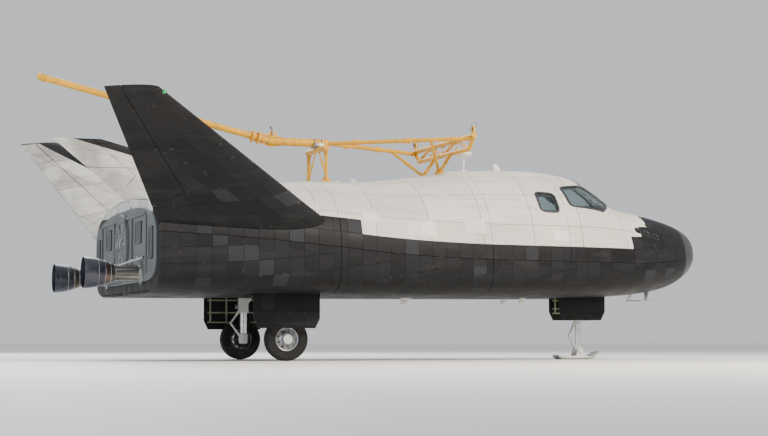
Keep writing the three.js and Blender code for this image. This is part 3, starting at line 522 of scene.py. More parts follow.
def thermalFinish(name, darkWhere, u, v):
    # black tiles where darkWhere says, and pale quilted blankets elsewhere, on the piece's skin attribute
    look = Finish(name, {"IOR": 1.45, "Specular IOR Level": 0.22})
    skin = look.split(look.node("Attribute", {"attribute_name": "skin"}, output="Vector"))
    u, v = u(*skin), v(*skin)
    near, chance, tileU, tileV = look.cells(u, v, tile["size"], tile["size"])
    panelNear, panelChance, *unused = look.cells(u + 0.07, v + 0.03, blanket["length"], blanket["width"])
    dark = darkWhere(tileU, tileV, *skin)
    broad, fine, speck = look.noise(0.9, 4), look.noise(42, 3), look.noise(14, 2, 0.7)
    streaks = look.runs((0.55, 8, 8), 5, 0.62)
    chip = near.ramp(0.012, 0.003) * speck.ramp(0.6, 0.7)
    joint = near.ramp(0.0045, 0.002)
    black = look.layers(
        look.mix(chance, tile["colour"], tile["other"]), (chance.ramp(0.93, 0.96) * 0.75, tile["renewed"]),
        (chip * 0.32, tile["chip"]), (joint * 0.85, tile["joint"]),
        (streaks.ramp(0.52, 0.74) * 0.3, tile["dust"]))
    seam = panelNear.ramp(0.006, 0.003)
    stitchNear, *unused = look.cells(u, v, blanket["stitch"], blanket["stitch"])
    pillow = stitchNear.ramp(0.0, blanket["stitch"] * 0.45)
    # the pale blankets; their colour darkens towards each quilting stitch, which is painted shade in the
    # quilt's dips
    white = look.layers(
        look.mix(panelChance, blanket["colour"], blanket["other"]),
        (panelChance.ramp(0.86, 0.9) * 0.6, blanket["renewed"]), (seam * 0.8, blanket["seam"]),
        ((1 - pillow) * 0.16, blanket["seam"]), (streaks.ramp(0.48, 0.76) * 0.55, blanket["dust"]),
        (broad.ramp(0.5, 0.72) * 0.3, blanket["stain"]))
    x, y, z = look.split(look.place)
    soot = x.ramp(sooted["start"], sooted["end"]) * look.noise(2.6, 5).ramp(0.3, 0.68)
    colour = look.layers(white, (dark, black), (soot * 0.5, sooted["colour"]))
    rough = dark * (0.48 + chance * 0.16 + chip * 0.2) + (1 - dark) * (0.7 + fine * 0.12)
    deep = dark * (chance * 0.12 - joint - chip * 0.12 + fine * 0.05)
    quilt = (1 - dark) * (pillow * 0.42 - seam * 0.9 + fine * 0.14)
    look.set({"Base Color": look.tint(colour, broad.ramp(0.25, 0.75, 0.9, 1.05)),
              "Roughness": rough + streaks.ramp(0.5, 0.75) * 0.1})
    look.bump(deep + quilt, 0.004)
    return look.material


def hullFinish():
    # on the body: the station, the way up from the chine, the way round from the belly's middle
    def girth(station, rise, around):
        side = rise.ramp(-0.1, -0.09)
        return side * rise + (1 - side) * around

    def dark(tileU, tileV, station, rise, around):
        limit = border["rise"] + tileU.ramp(0.3, border["noseEnd"], border["noseRise"], 0)
        limit = limit + tileU.ramp(border["tailStart"], border["tailEnd"], 0, border["tailRise"])
        below = (limit - tileV).maths("GREATER_THAN", 0)
        return below.maths("MAXIMUM", rise.maths("LESS_THAN", -0.09))
    return thermalFinish("hull", dark, lambda station, rise, around: station, girth)


def wingFinish():
    # on wings and fin: the distance behind the leading edge, the distance along the span, the face
    def dark(tileU, tileV, chord, span, face):
        return tileU.maths("LESS_THAN", border["wingLead"]).maths("MAXIMUM", face.maths("LESS_THAN", -0.5))
    return thermalFinish("wingSkin", dark, lambda chord, span, face: chord, lambda chord, span, face: span)


def paintedFinish(name, colour, under, rough, metal, wear, dirt, grime, underMetal=0.0):
    # paint that wears through to what is under it, with grime in patches and runs
    look = Finish(name)
    broad, patch, fine = look.noise(1.7, 5), look.noise(9, 6, 0.7), look.noise(70, 2)
    runs = look.runs((9, 9, 1.1), 5)
    bare = patch.ramp(0.72 - wear * 0.14, 0.75 - wear * 0.14) * look.noise(31, 3).ramp(0.35, 0.6)
    shade = look.tint(paint(colour), broad.ramp(0.3, 0.7, 0.86, 1.08))
    look.set({
        "Base Color": look.layers(shade, (runs.ramp(0.5, 0.78) * dirt, grime), (bare, under)),
        "Roughness": rough + patch * 0.16 + runs.ramp(0.5, 0.8) * 0.18,
        "Metallic": bare * underMetal + (1 - bare) * metal,
    })
    look.bump(fine * 0.25 - bare * 0.7 + patch * 0.2, 0.0012)
    return look.material


def metalFinish(name, colour, other, rough=0.3, along=(1, 1, 1), heat=None):
    # bare metal with fine lines, and heat colours where a place is given
    look = Finish(name, {"Metallic": 1.0})
    lines = look.runs(tuple(120 if a else 4 for a in along), 4)
    cloud = look.noise(5, 5)
    shade = look.mix(cloud.ramp(0.3, 0.7), colour, other)
    if heat:
        x, y, z = look.split(look.place)
        share = x.ramp(heat["start"], heat["end"]) + (cloud - 0.5) * 0.3
        stops = [(0.0, paint("9a958c")), (1.0, paint("4d4a52"))]
        shade = look.layers(
            shade, (0.55, look.node("ValToRGB", {"stops": stops}, {0: share})),
            (share.ramp(0.35, 0.6) * share.ramp(0.85, 0.6) * 0.5, "6b4a2e"),
            (share.ramp(0.6, 0.8) * 0.45, "2f3a52"))
    look.set({"Base Color": shade, "Roughness": rough + lines * 0.14 + cloud * 0.1})
    look.bump(lines, 0.0004)
    return look.material


def glassFinish():
    look = Finish("windowGlass", {
        "Transmission Weight": 1.0, "IOR": 1.3, "Specular IOR Level": 0.5, "Metallic": 0.0})
    film = look.noise(2.2, 5).ramp(0.35, 0.75)
    rain = look.runs((14, 14, 2.5), 4).ramp(0.55, 0.8)
    look.set({"Base Color": look.mix(film, "c9d6d8", "b4c0bf"), "Roughness": film * 0.03 + rain * 0.05})
    look.bump(rain, 0.0003)
    return look.material


def lensFinish(name, colour):
    colour = paint(colour)
    glow = {"Emission Strength": 0.25, "Emission Color": colour}
    look = Finish(name, {"IOR": 1.5, "Coat Weight": 0.6, **glow})
    ribs = look.noise(60, 1)
    look.set({"Base Color": look.mix(ribs, colour, look.tint(colour, 0.7)), "Roughness": 0.08 + ribs * 0.06})
    return look.material


def rubberFinish():
    look = Finish("tyreRubber", {"Specular IOR Level": 0.3})
    patch, fine, dust = look.noise(6, 5), look.noise(120, 2), look.noise(2.5, 5, 0.7).ramp(0.42, 0.7)
    shade = look.mix(dust * 0.5, look.mix(patch, "191919", "242322"), "5a5349")
    look.set({"Base Color": shade, "Roughness": 0.78 + patch * 0.14})
    look.bump(fine + patch * 0.6, 0.0012)
    return look.material


def fabricFinish(name, colour, other, pitch=900):
    look = Finish(name, {"Specular IOR Level": 0.2, "Sheen Weight": 0.25, "Sheen Roughness": 0.5})
    x, y, z = look.split(look.place)
    weave = ((x + z) * pitch).maths("SINE") * ((y + z * 0.4) * pitch).maths("SINE")
    patch = look.noise(7, 4)
    look.set({"Base Color": look.mix(patch.ramp(0.3, 0.7), colour, other), "Roughness": 0.82 + patch * 0.12})
    look.bump(weave * 0.4 + look.noise(18, 3), 0.0009)
    return look.material


def screenFinish():
    look = Finish("screenFace", {"IOR": 1.5, "Emission Strength": 0.6, "Base Color": paint("0a0d10")})
    x, y, z = look.split(look.place)
    near, chance, *unused = look.cells(y, z, 0.05, 0.028)
    lit = near.ramp(0.003, 0.006) * chance.ramp(0.55, 0.9)
    look.set({"Roughness": 0.12 + look.noise(9).ramp(0.4, 0.8) * 0.1,
              "Emission Color": look.mix(lit, "06090c", "2c7f86")})
    return look.material


paints = {
    # name, colour, what shows where it wears off, roughness, metal, wear, dirt, grime, metal under the paint
    "carbon": ("carbonShell", "2b2d30", "55575a", 0.38, 0.0, 0.25, 0.3, "4a463f"),
    "retainer": ("windowRetainer", "1d1f21", "8b8d8e", 0.36, 0.0, 0.35, 0.2, "3c3833", 1.0),
    "liner": ("cabinLiner", "b9bcb8", "8d8f8c", 0.6, 0.0, 0.1, 0.15, "6d6a62"),
    "bulkhead": ("bulkheadPaint", "5b5f60", "a3a5a4", 0.5, 0.2, 0.45, 0.4, "2a2622", 1.0),
    "gear": ("gearPaint", "d9dad6", "9b9d9f", 0.34, 0.0, 0.35, 0.4, "57503f", 1.0),
    "bay": ("bayPrimer", "8e977c", "b3b4ae", 0.55, 0.0, 0.35, 0.4, "3c382d"),
    "lift": ("liftPaint", "d69c08", "6a6156", 0.42, 0.0, 0.6, 0.4, "4a3a1c", 0.8),
    "hose": ("hoseJacket", "1b1b1c", "3a3a3a", 0.55, 0.0, 0.2, 0.3, "4a453c"),
    "antenna": ("antennaPaint", "e2e2de", "9b9d9f", 0.4, 0.0, 0.2, 0.3, "57503f"),
    "cabinPlastic": ("cabinPlastic", "4a4f53", "2f3336", 0.55, 0.0, 0.1, 0.1, "2c2b29"),
    "cover": ("accessCover", "d4d2cb", "9d9c98", 0.5, 0.0, 0.2, 0.35, "8a8478"),
    "mat": ("floorMat", "43474a", "5a5e60", 0.8, 0.0, 0.1, 0.3, "35322d"),
}
finishes = {
    "hull": hullFinish(),
    "wing": wingFinish(),
    "glass": glassFinish(),
    "steel": metalFinish("fittingSteel", "a6a8a9", "7d7f81", 0.28),
    "chrome": metalFinish("pistonChrome", "d5d7d8", "bfc1c3", 0.06, (0, 0, 1)),
    "rim": metalFinish("rimMetal", "b7b9bc", "96989b"),
    "nozzle": metalFinish("nozzleMetal", "8a8880", "5d5b5a", 0.26, (0, 1, 1), {"start": -3.6, "end": -4.3}),
    "brake": metalFinish("brakeSteel", "55504a", "3b3835", 0.45),
    "rubber": rubberFinish(),
    "seat": fabricFinish("seatCloth", "3a4149", "2e343b"),
    "strap": fabricFinish("strapWeb", "6a6b60", "58594f", 1600),
    "screen": screenFinish(),
    "red": lensFinish("redLens", "b3140f"),
    "green": lensFinish("greenLens", "0f8a3c"),
    **{key: paintedFinish(*values) for key, values in paints.items()},
}
print("finishes described")


def dress(piece, finish, slot, body="airframe", replaces=(), degrees=32):
    # gives a finished piece its finish and edges, and its place among the bodies
    piece.data.materials.clear()
    piece.data.materials.append(finishes[finish])
    smooth(piece, degrees)
    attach(piece, body)
    if replaces:
        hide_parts(*replaces)
    return piece


def assemble(name, parts, finish, slot, body="airframe", replaces=()):
    return dress(joined(name, parts), finish, slot, body, replaces)


# Skin places for the finishes

skinStep = 0.02
skinForms = []
for i in range(round(baseStation / skinStep) + 2):
    s = i * skinStep
    skinForms.append({
        "halfWidth": max(halfWidthAt(s), 1e-4), "chine": chineAt(s),
        True: (deckAt(s), deckPowerAt(s), quarter(s, True)[2]),
        False: (bellyAt(s), bellyPowerAt(s), quarter(s, False)[2]),
    })


def hullSkin(place):
    # the station, the way round the section from the chine, and that from the belly's middle
    station, height = noseX - place.x, place.z - bellyZ
    form = skinForms[min(max(round(station / skinStep), 0), len(skinForms) - 1)]
    onDeck = height >= form["chine"]
    end, power, lengths = form[onDeck]
    u = min(abs(place.y) / form["halfWidth"], 1)
    v = min(abs(height - form["chine"]) / max(abs(end - form["chine"]), 1e-4), 1)
    rise = float(np.interp(math.atan2(v ** (power / 2), u ** (power / 2)), turns, lengths))
    rise = rise if onDeck else -rise
    return station, rise, math.copysign(form[False][2][-1] + rise, place.y)


def markSkin(piece, rule=hullSkin):
    places = [number for vertex in piece.data.vertices for number in rule(vertex.co)]
    piece.data.attributes.new("skin", "FLOAT_VECTOR", "POINT").data.foreach_set("vector", places)
    return piece


# Windows and the crew hatch's outline

window = {"radius": 0.055, "pane": 0.02, "paneGap": 0.0004, "frameWidth": 0.042, "frameProud": 0.007,
          "frameSunk": 0.016, "frameEnd": 3.2, "lap": 0.004, "screwEvery": 0.07, "reach": 0.2}
windowForms = {
    # how the corners are given: station and distance from the middle, or station and height
    "windscreen": ("breadth", [(1.505, 0.055), (2.01, 0.055), (1.985, 0.56), (1.6, 0.64)]),
    "quarter_window": ("breadth", [(1.66, 0.735), (2.03, 0.65), (2.39, 0.85), (2.35, 1.11), (1.83, 0.96)]),
    "side_window": ("height", [(2.59, 1.16), (2.59, 1.4), (2.86, 1.41), (2.86, 1.16)]),
}
cabinWall = 0.055
hatch = {"station": 3.275, "height": 0.985, "halfLength": 0.3, "halfHeight": 0.37, "gap": 0.012,
         "reach": 0.25, "hingeLift": 0.03, "knuckle": 0.016, "knuckleLength": 0.06, "spread": 0.23,
         "arm": 0.075}


def onDeckSkin(kind, side, station, other):
    if kind == "breadth":
        return point(station, side * other, deckHeight(station, other))
    return point(station, side * deckBreadth(station, other), other)


def skinOutline(corners, inset):
    # the axes square to the skin over some corners that lie on it, and the outline in them
    centre = sum(corners, Vector()) / len(corners)
    out = (corners[2] - corners[0]).cross(corners[3] - corners[1]).normalized()
    if out.dot(centre - Vector((centre.x, 0, bellyZ + 0.5))) < 0:
        out.negate()
    right = corners[1] - corners[0]
    right = (right - out * right.dot(out)).normalized()
    up = out.cross(right)
    flat = [Vector(((c - centre).dot(right), (c - centre).dot(up))) for c in corners]
    flat = [c * (1 - inset / c.length) for c in flat]
    return axesOf(centre, right, up, out), rounded(flat, max(window["radius"] - inset, 0.02))


def windowOutlines(inset):
    for name, (kind, corners) in windowForms.items():
        for sideName, side in sides.items():
            yield name, sideName, *skinOutline([onDeckSkin(kind, side, *c) for c in corners], inset)


def windowCutters(inset):
    reach, outlines = window["reach"], windowOutlines(inset)
    return [prism("windowCutter", outline, axes, -reach, reach) for *names, axes, outline in outlines]


def deckPatch(station, height, side):
    # the deck's own axes at a place: aft along it, up round it, and out of it
    small = 0.005
    at = lambda s, h: onDeckSkin("height", side, s, h)
    back = (at(station + small, height) - at(station - small, height)).normalized()
    up = (at(station, height + small) - at(station, height - small)).normalized()
    out = back.cross(up).normalized()
    out = out if out.y * side > 0 else -out
    up = out.cross(back).normalized()
    return axesOf(at(station, height), back, up if up.z > 0 else -up, out)


def hatchBlock(name, margin, low=-hatch["reach"], high=hatch["reach"]):
    corners = rectangle(0, 0, hatch["halfLength"] + margin, hatch["halfHeight"] + margin)
    return prism(name, rounded(corners, window["radius"] + margin), hatchAxes, low, high)


cavity = bodyBlock(
    "cavity", "deck", seams["cockpit"] + 0.07, seams["middle"] + 0.005, -cabinWall, -0.04, False)
cabinLayer = bodyBlock("cabinLayer", "deck", seams["cockpit"], seams["middle"], chamfer=False)
carve(cabinLayer, cavity, keep=True)
hatchAxes = deckPatch(hatch["station"], hatch["height"], 1)
hatchTurn = hatchAxes.to_3x3()
print("cutters ready")


def lineInside(piece):
    # the faces that look into the cabin get its lining
    piece.data.materials.append(finishes["liner"])
    for face in piece.data.polygons:
        inwards = Vector((0, face.center.y, face.center.z - bellyZ - 0.6))
        if face.normal.dot(inwards) < -0.02 and abs(face.normal.x) < 0.95:
            face.material_index = len(piece.data.materials) - 1


def makeShells():
    end, count, rows = seams["noseCap"], mesh["quarterSteps"], 22
    stations = [0.0003] + [(end - 0.002) * (i / rows) ** 2 for i in range(1, rows + 1)]
    rings = [fullSection(s, 0, count) for s in stations] + [fullSection(end, -mesh["chamfer"], count)]
    dress(markSkin(overRings("noseCap", rings)), "carbon", "nose_tile", replaces=["nose_cap"])
    shells = [
        # name, seams, node, cutters
        ("noseDeck", "noseCap", "cockpit", "nose_deck", jetCutters(0.4, 1.4)),
        ("cockpitFrame", "cockpit", "cabin", "cockpit_frame", windowCutters(0)),
        ("cabinRoof", "cabin", "middle", "cabin_roof",
         windowCutters(0) + [hatchBlock("hatchOpening", hatch["gap"])]),
        ("middleFuselage", "middle", "aft", "mid_fuselage", []),
        ("aftFuselage", "aft", "base", "aft_fuselage", flapSlots(True) + jetCutters(6, 8)),
        ("bellyForward", "noseCap", "middle", "belly_forward", bayBoxes("noseBay")),
        ("bellyMiddle", "middle", "aft", "belly_mid", []),
        ("bellyAft", "aft", "base", "belly_aft", bayBoxes("mainBay") + flapSlots(False)),
    ]
    for name, start, end, node, cutters in shells:
        part = "belly" if name.startswith("belly") else "deck"
        hollow = start in ("cockpit", "cabin")
        shell = bodyBlock(name, part, seams[start], seams[end])
        if hollow:
            carve(shell, cavity, keep=True)
        carve(shell, *cutters)
        dress(markSkin(shell), "hull", "belly_tile" if part == "belly" else "upper_panel", replaces=[node])
        if hollow:
            lineInside(shell)


def bayBoxes(name):
    bay = gear[name]
    spans = [(-bay["outer"], bay["outer"])] if name == "noseBay" else [
        sorted((side * bay["inner"], side * bay["outer"])) for side in sides.values()]
    return [box("bay", point(bay["back"], low, -0.2), point(bay["front"], high, bay["depth"]))
            for low, high in spans]


def makeWindows():
    layer, reach = deckLayer(seams["cockpit"], seams["middle"], 0, -window["pane"]), window["reach"]
    for name, sideName, axes, outline in windowOutlines(window["paneGap"]):
        pane = prism(f"{name}Pane_{sideName}", outline, axes, -reach, reach)
        carve(pane, layer, operation="INTERSECT", keep=True)
        dress(pane, "glass", "window_glass", replaces=[f"{name}_{sideName}"])
    remove(layer)
    start, end = seams["cockpit"] - 0.02, window["frameEnd"]
    proud = deckLayer(start, end, window["frameProud"], -window["frameSunk"])
    frames = joined("windowFrames", windowCutters(-window["frameWidth"]))
    carve(frames, proud, operation="INTERSECT")
    carve(frames, *windowCutters(window["lap"]))
    dress(bevelled(frames, 0.003), "retainer", "window_glass")
    screws = []
    for *names, axes, outline in windowOutlines(-window["frameWidth"] * 0.5):
        screws += screwsAlong(outline, axes, window["screwEvery"], window["frameProud"], 0.0062)
    assemble("windowScrews", screws, "steel", "window_glass")


def onSkin(place, out, proud):
    # the place on the deck's skin, or proud of it, below or above a point, searched along a direction
    low, high = -0.1, 0.1
    for unused in range(26):
        middle = (low + high) / 2
        spot = place + out * middle
        station, height = noseX - spot.x, spot.z - bellyZ
        width = halfWidthAt(station) + proud
        reach = deckAt(station) - chineAt(station) + proud
        power = deckPowerAt(station)
        outside = (abs(spot.y) / width) ** power + (max(height - chineAt(station), 0) / reach) ** power > 1
        low, high = (low, middle) if outside else (middle, high)
    return place + out * low


def screwsAlong(outline, axes, every, proud, size):
    # screw heads at even distances along a closed outline
    closed = [Vector(p) for p in outline]
    lengths = [(closed[(i + 1) % len(closed)] - p).length for i, p in enumerate(closed)]
    total = sum(lengths)
    count = round(total / every)
    out = axes.to_3x3() @ upward
    screws, i, passed = [], 0, 0.0
    for k in range(count):
        while passed + lengths[i] < total * k / count:
            passed += lengths[i]
            i += 1
        share = (total * k / count - passed) / lengths[i]
        flat = closed[i].lerp(closed[(i + 1) % len(closed)], share)
        foot = onSkin(axes @ Vector((flat.x, flat.y, 0)), out, proud)
        screws.append(rod("screw", foot - out * 0.001, foot + out * 0.0022, size, size * 0.78, 8))
    return screws


# Body flaps

flap = {"hinge": 7.74, "nose": 0.075, "edge": 0.03, "gap": 0.008, "behind": 0.7, "tailStart": 7.5,
        "upper": (0.33, 1.43), "lower": (0.19, 1.56)}


def flapForm(upper, side):
    inner, outer = flap["upper" if upper else "lower"]
    place = lambda s, y: point(s, side * y, deckHeight(s, y) if upper else 0)
    start, end = place(flap["hinge"], inner), place(flap["hinge"], outer)
    middle = place(flap["hinge"], (inner + outer) / 2)
    axis = (end - start).normalized()
    chord = (place(baseStation, (inner + outer) / 2) - middle).normalized()
    out = axis.cross(chord).normalized()
    out = out if out.z * (1 if upper else -1) > 0 else -out
    chord = axis.cross(out).normalized()
    chord = -chord if chord.x > 0 else chord
    return start + out * ((middle - start).dot(out) - flap["nose"]), axis, chord, out, (end - start).length


def flapWedge(form, margin):
    start, axis, chord, out, length = form
    radius, behind = flap["nose"] + margin, flap["behind"]
    start = start - axis * margin
    nose = rod("flapNose", start, start + axis * (length + 2 * margin), radius, faces=64)
    rise = (flap["nose"] * 2 - flap["edge"]) * behind / (baseStation - flap["hinge"])
    outline = [(0, -radius), (behind, rise - radius), (behind, 0.4), (0, 0.4)]
    rear = prism("flapRear", outline, axesOf(start, chord, out, axis), 0, length + 2 * margin)
    return carve(nose, rear, operation="UNION")


def flapSlots(upper):
    return [flapWedge(flapForm(upper, side), flap["gap"]) for side in sides.values()]


def makeFlaps():
    for upper, height, slot in ((True, "upper", "upper_panel"), (False, "lower", "belly_tile")):
        for sideName, side in sides.items():
            tail = bodyBlock("tail", "both", flap["tailStart"], baseStation)
            piece = carve(flapWedge(flapForm(upper, side), 0), tail, operation="INTERSECT")
            piece.name = f"{height}BodyFlap_{sideName}"
            with editing(piece):
                bpy.ops.mesh.dissolve_degenerate(threshold=2e-5)
            node = f"{height}_body_flap_{sideName}"
            dress(markSkin(bevelled(piece, 0.005)), "hull", slot, node, [node])


# Wings and centre fin

wing = {"lead": [(5.808, 1.8, 0.768), (8.54, 3.5, 2.33)], "trail": [(7.987, 1.8, 0.377), (9.18, 3.5, 2.31)],
        "thickness": (0.25, 0.084)}
elevon = {"hingeAt": 0.74, "start": 0.4, "end": 1.06, "margin": 0.004, "behind": 0.9, "gap": 0.008}
fin = {"lead": [(5.404, 0, 1.2), (8.58, 0, 2.065)], "trail": [(8.184, 0, 1.2), (9.24, 0, 2.065)],
       "thickness": (0.21, 0.092)}
rudder = {"low": (8.165, 0, 1.571), "high": (9.134, 0, 2.361), "nose": 0.052, "behind": 0.7}
foil = {"edge": 0.014, "chordSteps": 30, "spanSteps": 34, "flare": 0.5, "flareEnd": 0.37, "start": 4.9}


def foilHalf(share):
    curve = 0.2969 * math.sqrt(share) - 0.126 * share - 0.3516 * share ** 2
    return 5 * (curve + 0.2843 * share ** 3 - 0.1036 * share ** 4)


def foilSection(lead, trail, thickness, normal):
    count = foil["chordSteps"]
    shares = [(1 - math.cos(math.pi * i / count)) / 2 for i in range(count + 1)]
    side = lambda share, sign: (
        lead.lerp(trail, share) + normal * sign * (foilHalf(share) * thickness + foil["edge"] / 2 * share))
    return [side(s, 1) for s in shares] + [side(s, -1) for s in shares[:0:-1]]


def thicknessAt(form, share):
    root, tip = form["thickness"]
    return root + (tip - root) * share


def foilCorners(form, side=1):
    # the root's and the tip's ends: lead, trail, lead, trail
    return [point(s, side * y, height) for ends in zip(form["lead"], form["trail"]) for s, y, height in ends]


def foilBlock(name, form, corners, normal):
    # a surface between a root and a tip section, that swells where it meets the body
    rootLead, rootTrail, tipLead, tipTrail = corners
    swell = lambda s: 1 + foil["flare"] * max(0, 1 - s / foil["flareEnd"]) ** 2
    rings = []
    for i in range(foil["spanSteps"] + 1):
        s = i / foil["spanSteps"]
        lead, trail = rootLead.lerp(tipLead, s), rootTrail.lerp(tipTrail, s)
        rings.append(foilSection(lead, trail, thicknessAt(form, s) * swell(s), normal))
    return overRings(name, rings)


def foilSkin(corners, normal, faced):
    # the distance behind the leading edge, the distance along the span, and the face
    rootLead, rootTrail, tipLead, tipTrail = corners
    span = (tipLead + tipTrail - rootLead - rootTrail) * 0.5
    span.x = 0
    length, span = span.length, span.normalized()

    def rule(place):
        s = (place - rootLead).dot(span) / length
        for unused in range(4):
            lead, trail = rootLead.lerp(tipLead, s), rootTrail.lerp(tipTrail, s)
            chord = lead.x - place.x
            away = place - lead.lerp(trail, chord / max(lead.x - trail.x, 0.01))
            s += away.dot(span) / length
        outer = away.dot(normal) < -1e-4 or s > 0.999
        return chord, s * length, (-1 if outer else 1) if faced else 0
    return rule


def movingEdge(start, end, out, startRadius, endRadius, behind, margin):
    # what is aft of a hinge, with a round nose in front of it
    axis = (end - start).normalized()
    chord = out.cross(axis).normalized()
    chord = -chord if chord.x > 0 else chord
    normal = axis.cross(chord).normalized()
    start = start - axis * margin
    nose = rod("edgeNose", start, end, startRadius + margin, endRadius + margin, 64)
    outline = rectangle(behind / 2, 0, behind / 2, 0.6)
    rear = prism("edgeRear", outline, axesOf(start, chord, normal, axis), 0, (end - start).length)
    return carve(nose, rear, operation="UNION")


def makeFoil(name, form, corners, normal, edge, faced, nodes):
    whole = foilBlock(name, form, corners, normal)
    carve(whole, bodyBlock("root", "both", foil["start"], baseStation, 0.0004))
    moving = copied(whole, nodes[1] + "Panel")
    carve(whole, movingEdge(*edge, elevon["gap"]))
    carve(moving, movingEdge(*edge, 0), operation="INTERSECT")
    for piece, node, body in ((whole, nodes[0], "airframe"), (moving, nodes[1], nodes[1])):
        bevelled(piece, 0.004, degrees=55)
        dress(markSkin(piece, foilSkin(corners, normal, faced)), "wing", "upper_panel", body, [node])


def makeWings():
    for sideName, side in sides.items():
        corners = foilCorners(wing, side)
        rootLead, rootTrail, tipLead, tipTrail = corners
        normal = (tipLead + tipTrail - rootLead - rootTrail).cross(forward).normalized()
        normal = normal if normal.z > 0 else -normal
        hingeAt = lambda s: rootLead.lerp(tipLead, s).lerp(rootTrail.lerp(tipTrail, s), elevon["hingeAt"])
        radiusAt = lambda s: (
            foilHalf(elevon["hingeAt"]) * thicknessAt(wing, s) + foil["edge"] / 2 + elevon["margin"])
        start, end = elevon["start"], elevon["end"]
        edge = (hingeAt(start), hingeAt(end), normal, radiusAt(start), radiusAt(end), elevon["behind"])
        makeFoil(f"wingPanel_{sideName}", wing, corners, normal, edge, True,
                 (f"wing_{sideName}", f"elevon_{sideName}"))
    low, high, nose = point(*rudder["low"]), point(*rudder["high"]), rudder["nose"]
    edge = (low, high, across, nose, nose, rudder["behind"])
    makeFoil("finPanel", fin, foilCorners(fin), across, edge, False, ("centre_fin", "rudder"))


# Small parts

def through(name, centre, half, radius, faces=28):
    # a rod whose middle is at a place
    return rod(name, centre - half, centre + half, radius, faces=faces)


def block(name, centre, halves, bevel=0.0):
    return box(name, centre - Vector(halves), centre + Vector(halves), bevel)


def bolts(centre, axis, ringRadius, count, size=0.008, height=0.006):
    axis = Vector(axis).normalized()
    first = axis.orthogonal().normalized()
    feet = [Vector(centre) + out * ringRadius for out in spokes(count, first, axis.cross(first), 0.5)]
    return [rod("bolt", foot - axis * 0.002, foot + axis * height, size, size * 0.92, 6) for foot in feet]


def collar(name, start, end, radius, edge=0.006):
    # a short round band with rounded edges
    length = (end - start).length
    profile = [(radius - edge, 0), (radius, edge), (radius, length - edge), (radius - edge, length)]
    return turned(name, profile, start, end - start, 40)


def weld(centre, axis, radius, bead=0.006):
    bpy.ops.mesh.primitive_torus_add(
        location=centre, rotation=axis.to_track_quat("Z", "Y").to_euler(),
        major_radius=radius, minor_radius=bead, major_segments=32, minor_segments=8)
    return settled("weld")


def plate(name, outline, axes, thickness, bevel=0.003):
    piece = prism(name, outline, axes, -thickness / 2, thickness / 2)
    return bevelled(piece, bevel, degrees=40) if bevel else piece


def handWheel(hub, first, second, radius, bar, spokeRadius):
    ring = weld(hub, first.cross(second), radius, bar)
    ends = [hub + out * radius for out in spokes(3, first, second)]
    return [ring] + [rod("spoke", hub, end, spokeRadius, faces=10) for end in ends]


def sideAxes(y, floor=bellyZ):
    # for outlines seen from the side: the station, the height, and across the craft
    return axesOf(Vector((noseX, y, floor)), aft, upward, across)


# Crew hatch

hatchInside = {
    "depth": 0.016, "wheel": {"radius": 0.062, "bar": 0.007, "reach": 0.055},
    "bars": [
        # along, up, half length, half height
        (-0.17, 0, 0.011, 0.3), (0.17, 0, 0.011, 0.3), (0, -0.2, 0.235, 0.011), (0, 0.2, 0.235, 0.011),
    ],
    "rodDepth": 0.024, "rodRoute": (0.03, 0.12, 0.21, 0.32), "guides": (0.1, 0.3),
}


def hatchPlace(along, up, out):
    return hatchAxes @ Vector((along, up, out))


def onHatchSkin(along, up):
    spot = hatchPlace(along, up, 0)
    return onDeckSkin("height", 1, noseX - spot.x, spot.z - bellyZ)


def makeHatch():
    door = carve(hatchBlock("crewHatchDoor", 0), cabinLayer, operation="INTERSECT", keep=True)
    dress(markSkin(bevelled(door, 0.005)), "hull", "upper_panel", "crew_hatch", ["crew_hatch"])
    lineInside(door)
    makeHinges()
    normal = hatchTurn @ upward
    # a flush handle in its dish, and a pressure valve
    for name, along, up, r in (("handle", 0.19, -0.05, 0.05), ("valve", 0.2, 0.17, 0.026)):
        foot = onHatchSkin(along, up)
        rim = [(r * 0.72, -0.004), (r * 0.76, 0.003), (r * 0.95, 0.005), (r, 0.003), (r, -0.004)]
        parts = [turned("dish", rim, foot, normal, 36, closed=True),
                 rod("dishFloor", foot - normal * 0.006, foot - normal * 0.0005, r * 0.8)]
        if name == "handle":
            proud = (foot - hatchPlace(along, up, 0)).dot(normal) + 0.006
            bar = hatchPlace(along, up, proud)
            parts.append(through("bar", bar, hatchTurn @ Vector((0.034, 0, 0)), 0.006, 12))
        else:
            parts += bolts(foot, normal, r * 0.5, 6, 0.003, 0.002)
        assemble(f"hatch_{name}", parts, "steel", "upper_panel", "crew_hatch")


def makeHinges():
    # knuckles with their arms, legs and bolts, on the door and on the cabin
    length, edge = hatch["knuckleLength"], 0.006
    line = -hatch["halfLength"] - hatch["gap"] / 2
    skin = onDeckSkin("height", 1, hatch["station"] - hatch["halfLength"], hatch["height"])
    out = (hatchAxes.inverted() @ skin).z + hatch["hingeLift"]
    for body, name, towards, shift in (
        ("crew_hatch", "hatchHinges", 1, 0), ("airframe", "cabinHinges", -1, length + edge),
    ):
        parts = []
        for foot in (-hatch["spread"], hatch["spread"] - length):
            low, high = foot + shift, foot + shift + length
            middle, far = (low + high) / 2, line + towards * hatch["arm"]
            ends = [hatchPlace(line, up, out) for up in (low, high)]
            parts.append(collar("knuckle", *ends, hatch["knuckle"], 0.003))
            for part, near, bottom, top in (
                ("arm", line, 0.014, 0.002), ("leg", line + towards * 0.03, 0.05, 0.004),
            ):
                outline = rectangle((near + far) / 2, middle, abs(far - near) / 2, length / 2 - edge)
                parts.append(prism(part, outline, hatchAxes, out - bottom, out - top))
            for along in (0.045, 0.064):
                spot = hatchPlace(line + towards * along, middle, out - 0.002)
                parts.append(rod("bolt", spot, spot + hatchTurn @ Vector((0, 0, 0.004)), 0.007, faces=6))
        dress(bevelled(joined(name, parts), 0.0015, 1), "steel", "upper_panel", body)


